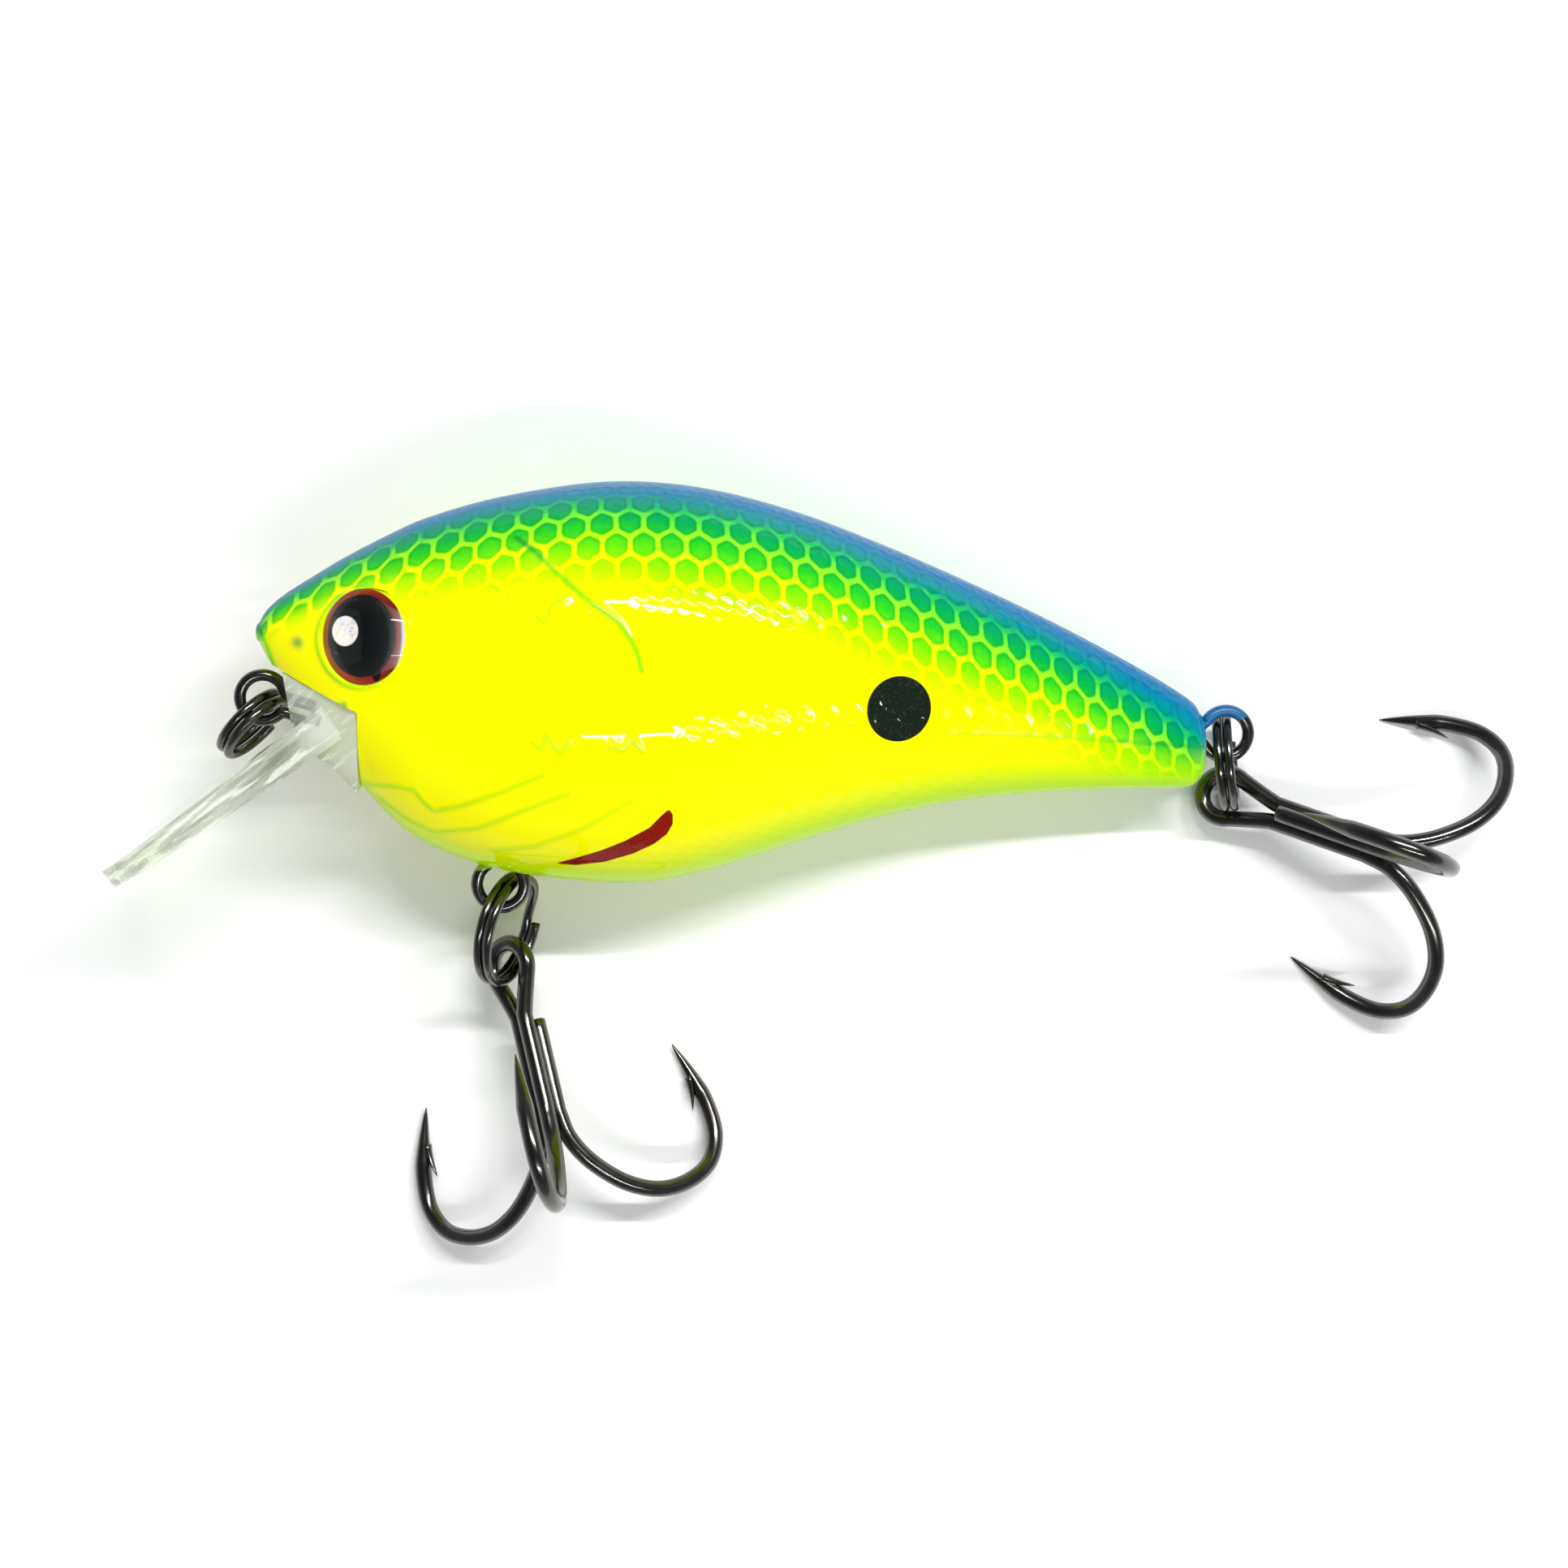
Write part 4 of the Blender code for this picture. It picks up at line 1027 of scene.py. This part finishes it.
def barb(angle, matrix):
    """Curved sliver raised inside the point arm, with its tip to the bend."""
    tip = Vector(HOOK_CURVE[-1])
    arm = (Vector(HOOK_CURVE[-2]) - tip).normalized()
    inward = Vector((-arm.y, arm.x))
    if inward.y > 0:
        inward = -inward
    rows = []
    for t in np.linspace(0.0, 1.0, 9):
        back = BARB_BACK[0] + (BARB_BACK[1] - BARB_BACK[0]) * t
        rise = BARB_ROOT + (BARB_RISE - BARB_ROOT) * t ** 1.35
        rows.append((tip + arm * back + inward * rise, 0.30 * (1 - t) ** 0.6 + 0.02,
                     0.26 * (1 - t) ** 0.8 + 0.02))
    points = []
    for spot, wide, deep in rows:
        for k in range(BARB_SIDES):
            turn = 2 * math.pi * k / BARB_SIDES
            w, lift = wide * math.cos(turn), deep * math.sin(turn)
            flat = spot + inward * lift
            points.append(matrix @ Vector((flat.x, flat.y * math.cos(angle) - w * math.sin(angle),
                                           flat.y * math.sin(angle) + w * math.cos(angle))))
    return points, grid_faces(len(rows), BARB_SIDES)


def treble(label, matrix, single_at, eye_turn, look):
    """Double hook with the eye and the braze, and the single hook."""
    angles = {slot: math.radians(90.0 + 120.0 * slot) for slot in range(3)}
    single_angle = angles.pop(single_at)
    first, second = angles.values()
    facing = unit(single_angle + math.radians(eye_turn))
    wide = Vector((-facing.y, facing.x))
    if wide.dot(unit(first)) < 0:
        wide = -wide
    shift = -SHANK_OFFSET / 2 * unit(single_angle)
    left, right = (hook_path(angle, SHANK_CLOSED_AT) for angle in (first, second))
    loop = []
    for degrees in np.linspace(-TREBLE_EYE_OPENS, TREBLE_EYE_OPENS, 31):
        angle = math.radians(degrees)
        out = shift - wide * TREBLE_EYE_RADIUS * math.sin(angle)
        along = TREBLE_EYE_AT - TREBLE_EYE_RADIUS * math.cos(angle)
        loop.append(Vector((along, out.x, out.y)))
    # The two wires swing in from the eye to lie side by side.
    lead_in, lead_out = ([Vector(p) for p in spline(knots, 8)[8:17]] for knots in (
        (left[2], left[0], loop[0], loop[2]), (loop[-3], loop[-1], right[0], right[2])))
    path = [matrix @ p for p in left[:0:-1] + lead_in + loop[1:-1] + lead_out + right[1:]]
    double = merged(tube(path, wire_radii(path, 2)), barb(first, matrix), barb(second, matrix))
    bare = [matrix @ p for p in hook_path(single_angle, SINGLE_STARTS_AT)]
    single = merged(tube(bare, wire_radii(bare, 1)), barb(single_angle, matrix))
    # Braze that fills the middle of the three wires.
    core = [matrix @ Vector((a, 0.0, 0.0)) for a in np.linspace(*BRAZE, BRAZE_STEPS)]
    swell = [0.12 + 0.26 * math.sin(math.pi * k / (BRAZE_STEPS - 1)) ** 0.4
             for k in range(BRAZE_STEPS)]
    braze = tube(core, swell, sides=16)
    return (mesh_piece(label + "_double_wire", *merged(double, braze), look=look),
            mesh_piece(label + "_single_wire", *single, look=look))


# ---- Camera, light, floor ----
def studio():
    view = bpy.data.cameras.new("camera")
    view.angle = math.radians(VIEW_ANGLE)
    view.clip_start = 0.004
    camera = bpy.data.objects.new("camera", view)
    camera.location = CAMERA_AT
    add_to_scene(camera)
    bpy.context.scene.camera = camera

    # Two strips that show as highlights, and a wide soft light that only fills.
    for name, middle, size, power, shows in LIGHTS:
        light = bpy.data.lights.new(name, "AREA")
        light.shape = "RECTANGLE"
        light.size, light.size_y = size
        light.energy = power
        lamp = bpy.data.objects.new(name, light)
        lamp.location = middle
        lamp.rotation_euler = (-math.atan2(middle[1], middle[2]), 0.0, 0.0)
        lamp.visible_glossy = shows
        add_to_scene(lamp)

    world = bpy.data.worlds.new("studio")
    world.use_nodes = True
    nodes, links = world.node_tree.nodes, world.node_tree.links
    where = nodes.new("ShaderNodeTexCoord")
    height = nodes.new("ShaderNodeSeparateXYZ")
    fall = nodes.new("ShaderNodeValToRGB")      # bright near the horizon, dim overhead
    low, high = fall.color_ramp.elements
    low.color, high.color = (0.30, 0.33, 0.35, 1.0), (0.07, 0.075, 0.08, 1.0)
    high.position = 0.75
    links.new(where.outputs["Generated"], height.inputs[0])
    links.new(height.outputs["Z"], fall.inputs[0])
    links.new(fall.outputs[0], nodes["Background"].inputs["Color"])
    bpy.context.scene.world = world
    bpy.context.scene.view_settings.view_transform = "Standard"

    corners = [(x * FLOOR_HALF, y * FLOOR_HALF, 0) for x, y in ((-1, -1), (1, -1), (1, 1), (-1, 1))]
    floor = mesh_piece("floor", corners, [(0, 1, 2, 3)], smooth=False)
    g = Graph("pale_floor")
    g.set(Base_Color=g.mix(g.noise(40.0), (0.93, 0.93, 0.93, 1.0), (0.95, 0.95, 0.95, 1.0)),
          Roughness=0.6)
    floor.data.materials.append(g.material)


def place(piece, body, slot, *nodes):
    """Ties a piece to its body and hides the CAD nodes that it replaces. The slot is not used."""
    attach(piece, body)
    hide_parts(*nodes)


def main():
    studio()
    skin = paint()
    lens = clear_plastic("clear_lens", (1.0, 1.0, 1.0, 1.0), 0.0, (0.97, 0.97, 0.97, 1.0), 1.30)
    plastic = clear_plastic("clear_lip_plastic", (0.80, 0.83, 0.74, 1.0), 0.02,
                            (0.60, 0.62, 0.57, 1.0), streaked=True)
    foil = eye_foil()
    metal = wire_metal("black_nickel")
    sprayed = wire_metal("black_nickel_oversprayed", painted=True)

    for label, side in (("left", 1), ("right", -1)):
        place(body_half(label + "_painted_half", side, skin), "lure_body", "painted_body",
              label + "_body_shell")
        disc, dome = eye(label, side, foil, lens)
        place(disc, "lure_body", "eye_foil", label + "_eye_disc")
        place(dome, "lure_body", "clear_plastic", label + "_eye_dome")
    place(lip(plastic), "lure_body", "clear_plastic", "diving_lip")
    place(mesh_piece("line_tie_loop", *line_tie(), look=metal), "lure_body", "black_nickel",
          "line_tie_wire")
    place(hanger("belly_hanger_wire", BELLY_EYE, -heading(0.0), sprayed), "lure_body",
          "black_nickel", "belly_hanger")
    place(hanger("tail_hanger_wire", TAIL_EYE, -heading(90.0), sprayed), "lure_body",
          "black_nickel", "tail_hanger")
    place(split_ring("line_tie_ring_coils", at(*TIE_EYE), TIE_RING, metal), "line_tie_ring",
          "black_nickel", "line_tie_split_ring")
    for label, eye_at, ring, lie, single_at, eye_turn in (
            ("belly", BELLY_EYE, BELLY_RING, BELLY_TREBLE, 2, BELLY_EYE_TURN),
            ("tail", TAIL_EYE, TAIL_RING, TAIL_TREBLE, 0, 0.0)):
        hinge = at(*eye_at)
        place(split_ring(label + "_ring_coils", hinge, ring, metal), label + "_ring",
              "black_nickel", label + "_split_ring")
        start, degrees, pitch = lie
        matrix = treble_frame(hinge + Vector(start), degrees, pitch)
        double, single = treble(label + "_treble", matrix, single_at, eye_turn, metal)
        place(double, label + "_treble", "black_nickel", label + "_treble_double_hook")
        place(single, label + "_treble", "black_nickel", label + "_treble_single_hook")

    lead = plain_metal("cast_lead", srgb(120, 120, 126), srgb(92, 92, 98), 0.5)
    steel = plain_metal("steel_ball", srgb(200, 200, 200), srgb(180, 180, 184), 0.2)
    for node, look in (("belly_ballast", lead), ("rattle_ball_front", steel),
                       ("rattle_ball_rear", steel)):
        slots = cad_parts[node].data.materials
        slots.clear()
        slots.append(look)


main()
